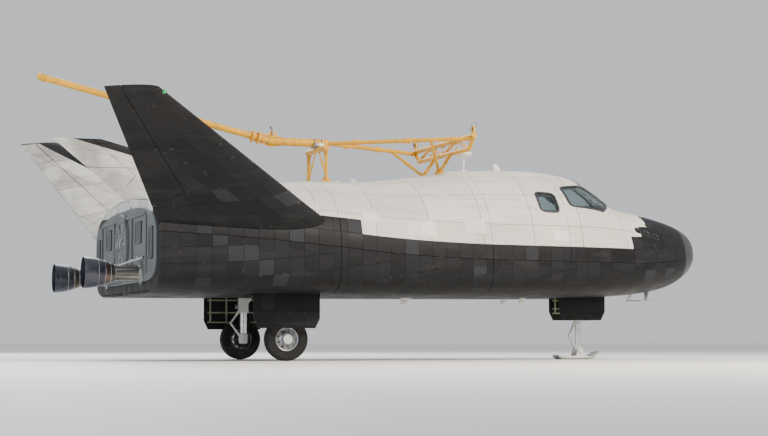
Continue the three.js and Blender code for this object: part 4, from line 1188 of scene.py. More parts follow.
def makeHatchInside():
    # ribs, latch rods and a hand wheel on the door's inner face, and a seal round the opening
    wheel, normal = hatchInside["wheel"], hatchTurn @ upward
    inside = lambda up, depth: onHatchSkin(0, up) - normal * (cabinWall + depth)
    layer = deckLayer(2.8, seams["middle"], 0.001 - cabinWall, -cabinWall - hatchInside["depth"])
    ribs = [prism("rib", rectangle(*bar), hatchAxes, -hatch["reach"], 0.1) for bar in hatchInside["bars"]]
    for rib in ribs:
        carve(rib, layer, operation="INTERSECT", keep=True)
    assemble("hatchRibs", ribs, "liner", "cabin_trim", "crew_hatch")
    hub = inside(0, wheel["reach"])
    parts = handWheel(hub, hatchTurn @ forward, hatchTurn @ across, wheel["radius"], wheel["bar"],
                      wheel["bar"] * 0.8)
    parts.append(rod("hub", inside(0, 0), hub - normal * 0.006, 0.016, faces=20))
    for reach in (-1, 1):  # latch rods up and down, and their guides
        route = [inside(reach * up, hatchInside["rodDepth"]) for up in hatchInside["rodRoute"]]
        parts.append(tube("latchRod", route, 0.007))
        for up in hatchInside["guides"]:
            parts.append(rod("guide", inside(reach * up, 0), inside(reach * up, 0.034), 0.014, faces=16))
    assemble("hatchLatch", parts, "steel", "cabin_trim", "crew_hatch")
    seal = carve(hatchBlock("hatchSeal", hatch["gap"] + 0.02, high=0.1), layer, operation="INTERSECT")
    carve(seal, hatchBlock("sealInner", hatch["gap"] + 0.003, -0.3, 0.2))
    dress(seal, "hose", "cabin_trim")


# Base, docking port and engines

base = {
    "inset": 0.15, "thickness": 0.03, "seam": 0.0003, "edge": 0.008, "count": 30,
    "ribs": [
        # y, height, half width, half height, depth
        (0.62, 0.615, 0.02, 0.365, 0.02), (1.55, 0.615, 0.02, 0.365, 0.02),
        (0.51, 0.2, 0.41, 0.018, 0.018), (0.8, 1.0, 0.7, 0.018, 0.018),
    ],
    "covers": [
        # y, height, half width, half height
        (1.85, 0.62, 0.13, 0.2), (1.05, 0.78, 0.2, 0.14),
    ],
    "coverDepth": 0.014, "boltInset": 0.011,
}
dock = {"height": 0.67, "radius": 0.4, "thickness": 0.045, "rim": 0.33, "depth": 0.02}
nozzle = {"y": 1.2, "height": 0.262, "length": 0.73, "neck": 0.095, "neckLength": 0.33, "exit": 0.197,
          "wall": 0.008, "rows": 18, "bands": (0.0, 0.16, 0.34, 0.56), "pipes": 8}
fittingStation = baseStation + 2 * base["seam"] + base["thickness"]


def onBase(name, y, height, halfWidth, halfHeight, depth, bevel):
    # a raised block on the base's outer face
    face = baseStation + base["seam"] + base["thickness"]
    low = point(face + depth, y - halfWidth, height - halfHeight)
    return box(name, low, point(face, y + halfWidth, height + halfHeight), bevel)


def makeBase():
    start = baseStation + base["seam"]
    end = start + base["thickness"]
    section = lambda station, extra: [
        Vector((noseX - station, p.y, p.z))
        for p in fullSection(baseStation, -base["inset"] - extra, base["count"])]
    rings = [section(start, 0), section(end - base["edge"], 0), section(end, base["edge"])]
    dress(overRings("basePanel", rings), "bulkhead", "bulkhead_panel", replaces=["base_bulkhead"])
    parts = [onBase("rib", side * y, *sizes, 0.005) for y, *sizes in base["ribs"] for side in (-1, 1)]
    for side in (-1, 1):
        parts += bolts(point(end, side * nozzle["y"], nozzle["height"]), aft, 0.17, 16, 0.009, 0.007)
    assemble("baseRibs", parts, "bulkhead", "bulkhead_panel")
    # umbilical and vent plates on the base
    parts = []
    for y, height, wide, tall in [(side * y, *sizes) for y, *sizes in base["covers"] for side in (-1, 1)]:
        cover = onBase("cover", y, height, wide, tall, base["coverDepth"], 0.006)
        with editing(cover, "FACE", lambda part: part.normal.x < -0.99 and part.area > 0.01):
            bpy.ops.mesh.inset(thickness=0.02, depth=0)
            bpy.ops.mesh.inset(thickness=0.004, depth=-0.004)
        parts.append(cover)
        for u, v in rectangle(y, height, wide - base["boltInset"], tall - base["boltInset"]):
            spot = point(end + base["coverDepth"] - 0.001, u, v)
            parts.append(rod("bolt", spot, spot + aft * 0.004, 0.006, faces=6))
    assemble("baseCovers", parts, "retainer", "bulkhead_panel")


def makeDock():
    r, t, rim, floor = dock["radius"], dock["thickness"], dock["rim"], dock["thickness"] - dock["depth"]
    centre = point(fittingStation, 0, dock["height"])
    profile = [(0.001, 0), (r - 0.004, 0), (r, 0.004), (r, t - 0.008), (r - 0.008, t), (rim + 0.01, t),
               (rim, t - 0.006), (rim - 0.02, floor), (0.2, floor + 0.002), (0.12, floor + 0.006),
               (0.001, floor + 0.007)]
    dress(turned("dockingCover", profile, centre, aft, 96), "bulkhead", "bulkhead_panel",
          replaces=["docking_port_cover"])
    parts = bolts(centre + aft * t, aft, (r + rim) / 2, 24, 0.011, 0.007)
    for out in spokes(6, across, upward):
        axes = axesOf(centre + aft * (floor + 0.006) + out * 0.235, out, out.cross(aft), aft)
        outline = [(-0.06, -0.02), (0.07, -0.014), (0.07, 0.014), (-0.06, 0.02)]
        parts.append(plate("latch", outline, axes, 0.016))
        ends = [axes @ Vector((0.05, y, 0.006)) for y in (-0.024, 0.024)]
        parts.append(rod("pin", *ends, 0.007, faces=12))
    bow = [(-0.02, -0.07), (0.0, -0.07), (0.018, -0.055), (0.018, 0.055), (0.0, 0.07), (-0.02, 0.07)]
    for side in (-1, 1):
        route = [centre + aft * (t + a) + Vector((0, side * 0.09, b)) for a, b in bow]
        parts.append(tube("grip", route, 0.008))
    assemble("dockLatches", parts, "steel", "bulkhead_panel")


def makeNozzles():
    length, neck, neckLength, wall = nozzle["length"], nozzle["neck"], nozzle["neckLength"], nozzle["wall"]
    bell = lambda t: neck + (nozzle["exit"] - neck) * math.sin(t * math.pi / 2) ** 0.9
    along = lambda t: neckLength + t * (length - neckLength)
    shares = [i / nozzle["rows"] for i in range(nozzle["rows"] + 1)]
    lip, waist = nozzle["exit"], neck * 0.93
    front = [(0.04, 0), (neck, 0), (neck, 0.02), (waist, 0.03), (waist, neckLength - 0.03),
             (neck * 0.98, neckLength - 0.01)]
    rim = [(lip + 0.003, length - 0.012), (lip + 0.004, length - 0.004), (lip, length), (lip - wall, length)]
    throat = [(neck * 0.55, neckLength - 0.03), (0.01, neckLength - 0.05)]
    outer = [(bell(t), along(t)) for t in shares[:-1]]
    inner = [(bell(t) - wall, along(t)) for t in shares[-2::-1]]
    flange = [(neck * 0.9, 0.0), (neck * 1.5, 0.0), (neck * 1.5, 0.012), (neck * 1.45, 0.016),
              (neck * 0.9, 0.016)]
    pipe = [(0.03, 0.075), (0.06, 0.098), (0.1, 0.104), (0.28, 0.104), (0.33, 0.1), (0.345, 0.092)]
    for sideName, side in sides.items():
        origin = point(fittingStation, side * nozzle["y"], nozzle["height"])
        body = turned(f"engineNozzle_{sideName}", front + outer + rim + inner + throat, origin, aft, 72)
        dress(body, "nozzle", "nozzle_metal", replaces=[f"engine_nozzle_{sideName}"])
        # stiffening bands round the bell, and cooling pipes along the neck
        parts = [weld(origin + aft * along(t), aft, bell(t) + 0.001, 0.005) for t in nozzle["bands"]]
        for out in spokes(nozzle["pipes"], across, upward, 0.5):
            parts.append(tube("pipe", [origin + aft * a + out * r for a, r in pipe], 0.006))
        parts.append(turned("flange", flange, origin, aft, 48, closed=True))
        parts += bolts(origin + aft * 0.016, aft, neck * 1.3, 12, 0.008, 0.007)
        for s in (-1, 1):  # gimbal struts
            head = origin + Vector((-0.3, s * 0.06, 0.085))
            foot = origin + Vector((-0.005, s * 0.16, 0.19))
            parts += [rod("strut", foot, foot.lerp(head, 0.55), 0.016, faces=20),
                      rod("strut", foot.lerp(head, 0.5), head, 0.009, faces=16),
                      ball("strutEnd", head, 0.014),
                      collar("strutFoot", foot, foot + aft * 0.02, 0.026, 0.004)]
        assemble(f"nozzleFittings_{sideName}", parts, "steel", "nozzle_metal")


# Landing gear

# a name that ends in Z is a height above the floor
gear = {
    "noseBay": {"front": 1.43, "back": 2.15, "outer": 0.19, "depth": 0.35},
    "mainBay": {"front": 5.99, "back": 6.89, "inner": 0.86, "outer": 1.43, "depth": 0.4},
    "wheel": {"station": 6.4, "y": 1.22, "radius": 0.28, "half": 0.095, "rim": 0.15, "bore": 0.042,
              "holes": 9, "face": 0.058},
    "tread": {"steps": 64, "grooves": (0.012, 0.04, 0.066), "grooveHalf": 0.0045, "grooveDepth": 0.007,
              "ridges": (0.82, 0.93), "ridge": 0.0022},
    "mainLeg": {"y": 1.04, "radius": 0.07, "piston": 0.05, "pistonTopZ": 0.7, "axle": 0.034, "brace": 0.03,
                "rodZ": 0.96, "rodFootZ": 0.74},
    "noseLeg": {"station": 1.78, "radius": 0.052, "footZ": 0.11, "footRadius": 0.04, "brace": 0.026,
                "braceZ": 0.52},
    "skid": {"front": 1.5, "back": 2.12, "half": 0.115, "thickness": 0.034, "toe": 0.09, "rows": 32},
    "mainDoor": {"thickness": 0.02, "inside": 0.06, "hang": 0.43, "margin": 0.012, "ribs": 4},
    "noseDoor": {"thickness": 0.016, "inside": 0.05, "hang": 0.3, "margin": 0.01, "ribs": 3},
}
brake = {"discs": 3, "pitch": 0.009, "radius": 0.112, "ring": 0.07, "turns": (0.4, 1.6, 2.8, 4.0, 5.2)}


def floorPoint(station, y, z):
    return Vector((noseX - station, y, z))


def treadProfile():
    # over the tread from one bead to the other
    size, form = gear["wheel"], gear["tread"]
    places = []
    for i in range(form["steps"] + 1):
        t = -1 + 2 * i / form["steps"]
        turn = t * math.pi / 2
        along = size["half"] * math.copysign(abs(math.sin(turn)) ** 0.62, t)
        out = size["radius"] * (0.8 + 0.2 * abs(math.cos(turn)) ** 0.42)
        if any(abs(abs(along) - place) < form["grooveHalf"] for place in form["grooves"]):
            out -= form["grooveDepth"]
        ridge = form["ridge"] if any(abs(abs(t) - place) < 0.02 for place in form["ridges"]) else 0
        places.append((out + ridge * 0.3, along + math.copysign(ridge, t)))
    return places


def makeWheels():
    size = gear["wheel"]
    rim, half, bore, face, r = size["rim"], size["half"], size["bore"], size["face"], size["rim"] - 0.0006
    bead = [(rim + 0.012, half * 0.92), (rim + 0.002, half * 0.74), (rim + 0.0003, half * 0.68)]
    profile = [(a, -b) for a, b in reversed(bead)] + treadProfile() + bead
    dish = [(bore, -face), (r * 0.5, -face), (r * 0.58, -0.05), (r * 0.82, -0.034), (r * 0.93, -0.05),
            (r * 0.94, -0.062), (r, -0.066), (r, 0.066), (r * 0.94, 0.062), (r * 0.93, 0.05),
            (r * 0.82, 0.03), (r * 0.58, 0.046), (r * 0.5, face), (bore, face)]
    for sideName, side in sides.items():
        body = f"wheel_{sideName}"
        centre, axle = floorPoint(size["station"], side * size["y"], size["radius"]), across * side
        tyre = turned(f"tyre{sideName.title()}", profile, centre, axle, 96, closed=True)
        dress(tyre, "rubber", "tyre_rubber", body, [f"tyre_{sideName}"], 40)
        wheel = turned(f"rim{sideName.title()}", dish, centre, axle, 72, closed=True)
        for out in spokes(size["holes"], forward, upward):
            carve(wheel, through("hole", centre + out * r * 0.72, axle * 0.1, 0.014, 20))
        dress(bevelled(wheel, 0.0015, degrees=40), "rim", "rim_metal", body, [f"wheel_rim_{sideName}"])
        parts = []
        for way in (axle, -axle):
            parts += bolts(centre + way * face, way, r * 0.4, size["holes"], 0.0065, 0.006)
        valve = centre + forward * 0.105
        parts.append(rod("valve", valve + axle * 0.03, valve + axle * face, 0.004, faces=10))
        assemble(f"wheelBolts_{sideName}", parts, "steel", "rim_metal", body)


def torqueLink(top, bottom, reach, width):
    # two links that meet behind the leg
    knee = (top + bottom) / 2 + aft * reach
    parts = []
    for end in (top, bottom):
        for offset in (across * -width, across * width):
            parts.append(rod("link", end + offset, knee + offset * 0.35, 0.012, 0.009, 14))
        parts.append(through("linkPin", end, across * (width + 0.014), 0.013, 16))
    return parts + [through("linkPin", knee, across * 0.026, 0.012, 16)]


def makeMainLegs():
    leg, size, bay = gear["mainLeg"], gear["wheel"], gear["mainBay"]
    hub, top, roof = size["radius"], leg["pistonTopZ"], bellyZ + bay["depth"] - 0.001
    axleEnd = size["y"] + size["half"] + 0.018 - leg["y"]
    dish = size["y"] - size["half"] - leg["y"]
    door = bay["outer"] - gear["mainDoor"]["thickness"] - 0.002 - leg["y"]
    footing = bay["front"] + 0.07 - size["station"]
    hose = [
        # height, outwards from the leg, aft of it
        (1.2, 0.03, -0.07), (0.95, 0, -0.084), (0.74, 0, -0.084), (0.6, 0, -0.1), (0.47, 0.02, -0.085),
        (0.37, 0.05, -0.075), (hub + 0.03, dish - 0.006, -0.065),
    ]
    for sideName, side in sides.items():
        at = lambda z, out=0.0, back=0.0: floorPoint(size["station"] + back, side * (leg["y"] + out), z)
        parts = [
            collar("cylinder", at(top - 0.04), at(roof), leg["radius"], 0.008),
            collar("gland", at(top - 0.052), at(top - 0.01), leg["radius"] * 1.06),
            collar("band", at(0.86), at(0.885), leg["radius"] * 1.08, 0.005),
            collar("band", at(1.06), at(1.085), leg["radius"] * 1.08, 0.005),
            collar("yoke", at(hub - 0.06), at(hub + 0.085), leg["piston"] * 1.22, 0.012),
            collar("axle", at(hub), at(hub, axleEnd - 0.003), leg["axle"], 0.003),
            rod("axleNut", at(hub, axleEnd - 0.002), at(hub, axleEnd + 0.008), 0.026, faces=6),
            collar("axleRoot", at(hub, 0.03), at(hub, 0.082), leg["axle"] * 1.5, 0.008),
            collar("axleCap", at(hub, axleEnd - 0.014), at(hub, axleEnd), 0.06, 0.004),
            rod("brace", at(top + 0.03), at(roof - 0.04, back=footing), leg["brace"]),
            through("braceEye", at(top + 0.03), across * 0.082, 0.03),
            block("foot", at(roof - 0.035, back=footing), (0.04, 0.06, 0.035), 0.006),
            through("footPin", at(roof - 0.04, back=footing), across * 0.075, 0.016),
        ]
        parts += [block("lug", at(z, 0.065), (0.02, 0.02, 0.012), 0.003) for z in (0.92, 1.0)]
        parts += torqueLink(at(top - 0.03, back=0.066), at(hub + 0.06, back=0.058), 0.12, 0.03)
        assemble(f"mainLeg_{sideName}", parts, "gear", "gear_metal", replaces=[f"main_leg_{sideName}"])
        piston = collar(f"mainPiston_{sideName}", at(hub + 0.05), at(top), leg["piston"], 0.003)
        dress(piston, "chrome", "gear_metal")
        # the brake inside the wheel's dish, and its hose down the leg
        parts = [collar("carrier", at(hub, dish - 0.004), at(hub, dish + 0.006), 0.085, 0.002)]
        for i in range(brake["discs"]):
            inner, radius = dish + 0.004 + brake["pitch"] * i, brake["radius"] - 0.004 * (i % 2)
            parts.append(collar("disc", at(hub, inner), at(hub, inner + 0.006), radius, 0.0015))
        for turn in brake["turns"]:
            out = (forward * math.cos(turn) + upward * math.sin(turn)) * brake["ring"]
            start, end = at(hub, dish - 0.012) + out, at(hub, dish + 0.004) + out
            parts.append(collar("cylinder", start, end, 0.014, 0.003))
        assemble(f"wheelBrake_{sideName}", parts, "brake", "gear_metal")
        dress(tube(f"brakeHose_{sideName}", [at(*spot) for spot in hose], 0.006), "hose", "gear_metal")
        head, foot = at(leg["rodZ"], 0.075), at(leg["rodFootZ"], door)
        parts = [rod("doorRod", head, foot, 0.009, faces=14), ball("rodEnd", head, 0.015),
                 ball("rodEnd", at(leg["rodFootZ"], door - 0.004), 0.015),
                 block("rodFoot", at(leg["rodFootZ"], door - 0.006), (0.03, 0.006, 0.03), 0.003)]
        assemble(f"doorRod_{sideName}", parts, "steel", "gear_metal")


def makeDoors():
    slope = 0.06
    for label, bayName in (("main", "mainBay"), ("nose", "noseBay")):
        bay, door = gear[bayName], gear[label + "Door"]
        front, back = bay["front"] + door["margin"], bay["back"] - door["margin"]
        hang, top, inside, count = door["hang"], door["inside"], door["thickness"], door["ribs"]
        outline = [(front, top), (front, slope * 2 - hang), (front + slope, -hang), (back - slope, -hang),
                   (back, slope * 2 - hang), (back, top)]
        middles = [front + 0.09 + (back - front - 0.18) * i / (count - 1) for i in range(count)]
        neck = [(-0.03, inside + 0.012), (0.03, inside + 0.03), (0.09, inside + 0.035),
                (0.13, inside + 0.015), (0.14, 0.006)]
        uprights = [rectangle(m, (top + 0.08 - hang) / 2, 0.012, (top + hang) / 2 - 0.05) for m in middles]
        levels = [rectangle((front + back) / 2, h, (back - front) / 2 - 0.05, 0.01)
                  for h in (0.1 - hang, -hang * 0.45, -0.02)]
        for sideName, side in sides.items():
            face = floorPoint(0, side * (bay["outer"] - 0.0005), bellyZ)
            axes = axesOf(face, aft, upward, across * -side)
            panel = prism(f"{label}DoorPanel_{sideName}", outline, axes, 0, inside)
            bevelled(panel, 0.004, degrees=30)
            rule = lambda place: (noseX - place.x, -0.3 - abs(place.z - bellyZ), place.z - bellyZ + 3)
            dress(markSkin(panel, rule), "hull", "belly_tile", replaces=[f"{label}_gear_door_{sideName}"])
            ribs = [prism("rib", rib, axes, inside - 0.002, inside + 0.014) for rib in uprights]
            ribs += [prism("rib", rib, axes, inside - 0.002, inside + 0.01) for rib in levels]
            for middle in (front + 0.09, back - 0.09):  # gooseneck hinges up into the bay
                ribs.append(tube("hingeNeck", [axes @ Vector((middle, h, d)) for h, d in neck], 0.011))
            liner = bevelled(joined(f"{label}DoorRibs_{sideName}", ribs), 0.002, 1)
            dress(liner, "bay", "gear_metal")


def bayFrame(station, half, y, otherY, low, high):
    front, back = floorPoint(station - half, otherY, high), floorPoint(station + half, y, low)
    return box("bayFrame", back, front, 0.003)


def makeBays():
    # frames, pipes and a pressure vessel on the bays' roofs and walls
    parts, pipes = [], []
    bay, nose = gear["mainBay"], gear["noseBay"]
    roof, noseRoof, half = bellyZ + bay["depth"], bellyZ + nose["depth"], nose["outer"]
    for side in sides.values():
        inner, outer = side * bay["inner"], side * bay["outer"]
        for station in [bay["front"] + 0.13 + i * 0.18 for i in range(5)]:
            if abs(station - gear["wheel"]["station"]) > 0.11:
                parts.append(bayFrame(station, 0.01, *sorted((inner, outer)), roof - 0.03, roof - 0.001))
            parts.append(bayFrame(station, 0.01, inner, inner + side * 0.025, bellyZ + 0.05, roof - 0.001))
        for k, radius in enumerate((0.011, 0.008, 0.006)):
            y, z = inner + side * 0.04, roof - 0.08 - k * 0.035
            route = [floorPoint(bay["front"] + 0.02, y, z), floorPoint(6.2, y, z),
                     floorPoint(6.5, y + side * 0.005, z + 0.01), floorPoint(bay["back"] - 0.02, y, z)]
            pipes.append(tube("pipe", route, radius))
        low = floorPoint(6.82, outer - side * 0.16, roof - 0.16)
        parts.append(box("accumulator", low, floorPoint(6.62, outer - side * 0.04, roof - 0.03), 0.02, 3))
    for station in [nose["front"] + 0.1 + i * 0.17 for i in range(4)]:
        if abs(station - gear["noseLeg"]["station"]) > 0.08:
            parts.append(bayFrame(station, 0.01, -half, half, noseRoof - 0.03, noseRoof - 0.001))
        for side in sides.values():
            ends = side * half, side * (half - 0.02)
            parts.append(bayFrame(station, 0.008, *ends, bellyZ + 0.07, noseRoof - 0.001))
    for side in sides.values():
        route = [(nose["front"] + 0.01, 0.13, 0.05), (1.7, 0.135, 0.06), (1.95, 0.13, 0.05),
                 (nose["back"] - 0.01, 0.13, 0.05)]
        pipes.append(tube("pipe", [floorPoint(s, side * y, noseRoof - down) for s, y, down in route], 0.008))
    assemble("bayFrames", parts, "bay", "gear_metal")
    assemble("bayPipes", pipes, "steel", "gear_metal")


def makeNoseGear():
    leg, bay = gear["noseLeg"], gear["noseBay"]
    roof, back = bellyZ + bay["depth"] - 0.001, bay["back"] - 0.07
    brace, radius = leg["braceZ"], leg["radius"]
    at = lambda z, station=leg["station"], y=0.0: floorPoint(station, y, z)
    parts = [
        collar("cylinder", at(0.5), at(roof), radius),
        collar("gland", at(0.49), at(0.53), radius * 1.1, 0.005),
        collar("band", at(0.7), at(0.725), radius * 1.12, 0.005),
        collar("crosstube", at(leg["footZ"], y=-0.07), at(leg["footZ"], y=0.07), leg["footRadius"], 0.004),
        collar("yoke", at(0.1), at(0.19), radius * 0.94, 0.01),
        rod("brace", at(brace), at(roof - 0.04, back), leg["brace"]),
        through("braceEye", at(brace), across * 0.065, 0.024),
        block("foot", at(roof - 0.035, back), (0.04, 0.05, 0.035), 0.006),
    ]
    parts += torqueLink(at(0.5, leg["station"] + 0.05), at(0.165, leg["station"] + 0.045), 0.09, 0.024)
    assemble("noseLegParts", parts, "gear", "gear_metal", replaces=["nose_leg"])
    dress(collar("nosePiston", at(0.15), at(brace), radius * 0.76, 0.003), "chrome", "gear_metal")


def makeSkid():
    leg, size = gear["noseLeg"], gear["skid"]
    s, footZ, front, back, t = leg["station"], leg["footZ"], size["front"], size["back"], size["thickness"]
    at = lambda z, station=s, y=0.0: floorPoint(station, y, z)
    under, over = [], []
    for i in range(size["rows"] + 1):  # a flat sole that curls up at the toe and a little at the heel
        place = back - (back - front) * i / size["rows"]
        toe = size["toe"] * (max(0, (front + 0.19 - place) / 0.19)) ** 2
        heel = 0.03 * (max(0, (place - back + 0.07) / 0.07)) ** 2
        lip = t * (1 - 0.35 * max(0, (front + 0.06 - place) / 0.06))
        under.append((place, toe + heel))
        over.append((place, toe + heel + lip))
    shoe = prism("noseSkidShoe", under + over[::-1], sideAxes(-size["half"], 0), 0, 2 * size["half"])
    dress(bevelled(shoe, 0.005, degrees=60), "steel", "skid_metal", replaces=["nose_skid"])
    lugForm = [(s - 0.075, t - 0.004), (s + 0.075, t - 0.004), (s + 0.03, 0.15), (s - 0.03, 0.15)]
    parts = [block("saddle", at(t + 0.004), (0.06, 0.06, 0.008), 0.004),
             through("pin", at(footZ), across * 0.108, 0.014, 24)]
    for side in (-1, 1):  # lugs that hold the leg's cross tube, nuts on their pin, and rails along the shoe
        parts += [plate("lug", rounded(lugForm, 0.02), sideAxes(side * 0.092, 0), 0.014),
                  through("nut", at(footZ, y=side * 0.107), across * 0.006, 0.022, 6),
                  box("rail", at(t - 0.002, back - 0.08, side * 0.1 - 0.01),
                      at(t + 0.014, front + 0.16, side * 0.1 + 0.01), 0.003)]
        for i in range(6):
            spot = at(t + 0.002, back - 0.09 - i * 0.075, side * 0.07)
            parts.append(through("bolt", spot, upward * 0.004, 0.008, 6))
    assemble("skidFittings", parts, "gear", "skid_metal")


# Lifting frame

lift = {
    "boomRadius": 0.045, "spineRadius": 0.055, "boomRise": 2.87, "spineHeight": 2.105, "spineAft": 6.3,
    "spineFore": 5.48, "crossStation": 5.63, "crossHeight": 2.009, "crossHalf": 0.46, "crossRadius": 0.04,
    "postSpread": 0.43, "postRadius": 0.025, "spreaderStation": 3.8, "spreaderTop": 2.15,
    "spreaderBottom": 1.99, "spreaderHalf": 1.24, "spreaderLowHalf": 1.04, "spreaderRadius": 0.034,
    "tubeRadius": 0.028, "tubeStart": 0.012, "tubeHeight": 2.105, "tubeInset": 0.06,
    "frontPostStation": 3.98, "frontPostY": 0.33, "braceStation": 4.28, "padRadius": 0.07,
    "padDepth": 0.024, "overall": 9.44,
    "joints": [
        # the shares of the boom's length where its two flanges are, their radius, their bolts
        ((0.05, 0.075), 0.09, (0.072, 8, 0.009, 0.007)),
        ((0.5, 0.514), 0.082, (0.066, 8, 0.008, 0.006)),
    ],
}
lug = {"width": 0.1, "height": 0.12, "thickness": 0.022, "hole": 0.022}
mast = {"station": 3.5, "radius": 0.012, "height": 2.02, "headRadius": 0.13, "headHalf": 0.085}


def lugPlate(foot, along, normal):
    w, h = lug["width"] / 2, lug["height"]
    outline = rounded([(-w, 0), (w, 0), (w, h * 0.6), (w * 0.55, h), (-w * 0.55, h), (-w, h * 0.6)], 0.008)
    half = lug["thickness"] / 2
    piece = prism("lug", outline, axesOf(foot, along, upward, normal), -half, half)
    eye = foot + upward * h * 0.62
    carve(piece, through("hole", eye, normal * 0.05, lug["hole"], 32))
    return bevelled(piece, 0.002), eye


def shackle(eye, normal, along):
    # a bow leaning back on its pin
    side, along = normal * 0.026, along.normalized()
    bow = [eye - side, eye - side + along * 0.05, eye - side * 1.35 + along * 0.085, eye + along * 0.118,
           eye + side * 1.35 + along * 0.085, eye + side + along * 0.05, eye + side]
    parts = [tube("bow", bow, 0.009), through("pin", eye, side * 1.5, 0.011, 20),
             rod("pinHead", eye - side * 1.62, eye - side * 1.42, 0.017, faces=6)]
    return parts + [ball("bowEye", eye + side * s, 0.016, segments=16) for s in (-1, 1)]


def padOn(station, y):
    # a bolted pad on the deck, with three gussets
    centre = point(station, y, deckHeight(station, y))
    r, depth = lift["padRadius"], lift["padDepth"]
    top = centre + upward * depth
    profile = [(0.001, -0.05), (r - 0.002, -0.05), (r, -0.048), (r, 0.018), (r - 0.006, depth),
               (0.001, depth)]
    parts = [turned("pad", profile, centre, upward, 40)] + bolts(top, upward, r * 0.72, 6, 0.0085, 0.007)
    for turn in (0.4, 2.5, 4.6):
        out = forward * math.cos(turn) + across * math.sin(turn)
        gusset = [(0.02, -0.002), (0.05, -0.002), (0.05, 0.006), (0.024, 0.06), (0.02, 0.06)]
        parts.append(plate("gusset", gusset, axesOf(top, out, upward, out.cross(upward)), 0.006, 0))
    return parts


def makeBoom():
    f, radius = lift, lift["boomRadius"]
    spineAft = point(f["spineAft"], 0, f["spineHeight"] + 0.008)
    spineFore = point(f["spineFore"], 0, f["spineHeight"])
    rise = point(f["overall"], 0, f["boomRise"]) - spineAft
    direction, tip = rise.normalized(), spineAft + rise
    at = lambda share: spineAft + rise * share
    boom = rod("boom", spineAft, tip + direction * 0.1, radius, faces=44)
    carve(boom, box("trim", point(f["overall"], -1, 1.5), point(4.5, 1, 3.5)), operation="INTERSECT")
    parts = [rod("spine", spineAft, spineFore, f["spineRadius"], faces=48), boom,
             ball("knuckle", spineAft, f["spineRadius"], segments=40),
             collar("cap", spineFore - forward * 0.03, spineFore, f["spineRadius"] * 1.02, 0.004)]
    for shares, wide, ring in f["joints"]:
        for share, way in zip(shares, (-direction, direction)):
            start, end = at(share), at(share) + direction * 0.018
            parts.append(collar("flange", start, end, wide, 0.003))
            parts += bolts(end if way == direction else start, way, *ring)
    parts += [weld(spineAft + forward * s, forward, f["spineRadius"] + 0.001, 0.004) for s in (0.09, 0.33)]
    parts.append(weld(at(0.035), direction, radius + 0.001, 0.005))
    for z in (-1, 1):  # gussets at the knuckle
        outline = [(-0.3, z * 0.05 + 0.075), (0.0, z * 0.05), (0.22, z * 0.05), (0.0, z * 0.085 + 0.005)]
        parts.append(plate("gusset", outline, axesOf(spineAft, forward, upward, across), 0.012, 0.002))
    foot = point(f["spineAft"] - 0.04, 0, f["spineHeight"] + f["spineRadius"] - 0.02)
    body, eye = lugPlate(foot, forward, across)
    parts += [body, collar("endBand", tip - direction * 0.09, tip - direction * 0.055, radius * 1.25, 0.004),
              weld(tip - direction * 0.095, direction, radius + 0.001, 0.004)]
    assemble("liftingBoom", parts, "lift", "lift_paint", replaces=["lifting_boom"])
    return shackle(eye, across, Vector((-0.3, 0, 1)))


def makeCrossbar():
    f = lift
    h, half, s, radius = f["crossHeight"], f["crossHalf"], f["crossStation"], f["postRadius"]
    inner = [(0, -0.14), (0.02, -0.14), (0.13, -0.035), (0, -0.035)]
    outer = [(0, -0.1), (0.012, -0.1), (0.022, -0.035), (0, -0.035)]
    parts = [collar("bar", point(s, -half, h), point(s, half, h), f["crossRadius"], 0.004)]
    for side in sides.values():
        y = side * f["postSpread"]
        foot = point(s, y, deckHeight(s, y) + 0.01)
        parts += [rod("post", foot, point(s, y, h), radius, faces=32), *padOn(s, y),
                  weld(point(s, y, h - 0.04), upward, radius + 0.002, 0.004),
                  weld(foot + upward * 0.016, upward, radius + 0.002, 0.004),
                  weld(point(s, side * (half - 0.005), h), across, f["crossRadius"] - 0.002, 0.004)]
        for a in (-1, 1):
            axes = axesOf(point(s, y + a * 0.024, h), across * a, upward, forward)
            parts.append(plate("gusset", outer if a == side else inner, axes, 0.008, 0))
        # a diagonal wire brace with its turnbuckle
        top, low = point(s, side * 0.09, h - 0.03), point(s, side * 0.405, deckHeight(s, 0.4) + 0.09)
        parts += [rod("brace", top, low, 0.009, faces=14),
                  rod("buckle", top.lerp(low, 0.42), top.lerp(low, 0.58), 0.016, faces=6)]
    assemble("rearCrossbar", parts, "lift", "lift_paint", replaces=["rear_crossbar"])
    clamps = []
    for a in (-0.05, 0.05):  # straps that hold the spine on the bar, and their bolts
        middle = point(s + a, 0, f["spineHeight"] + 0.001)
        ring = [middle + out * (f["spineRadius"] + 0.006) for out in spokes(24, across, upward)]
        clamps.append(tube("strap", ring, 0.006, closed=True))
        for y in (-0.075, 0.075):
            clamps += [rod("bolt", point(s + a, y, h + 0.02), point(s + a, y, h + 0.1), 0.007, faces=12),
                       rod("nut", point(s + a, y, h + 0.084), point(s + a, y, h + 0.094), 0.013, faces=6)]
    for y in (-0.075, 0.075):
        clamps.append(block("clamp", point(s, y, h + 0.0575), (0.07, 0.018, 0.0275), 0.004))
    return clamps


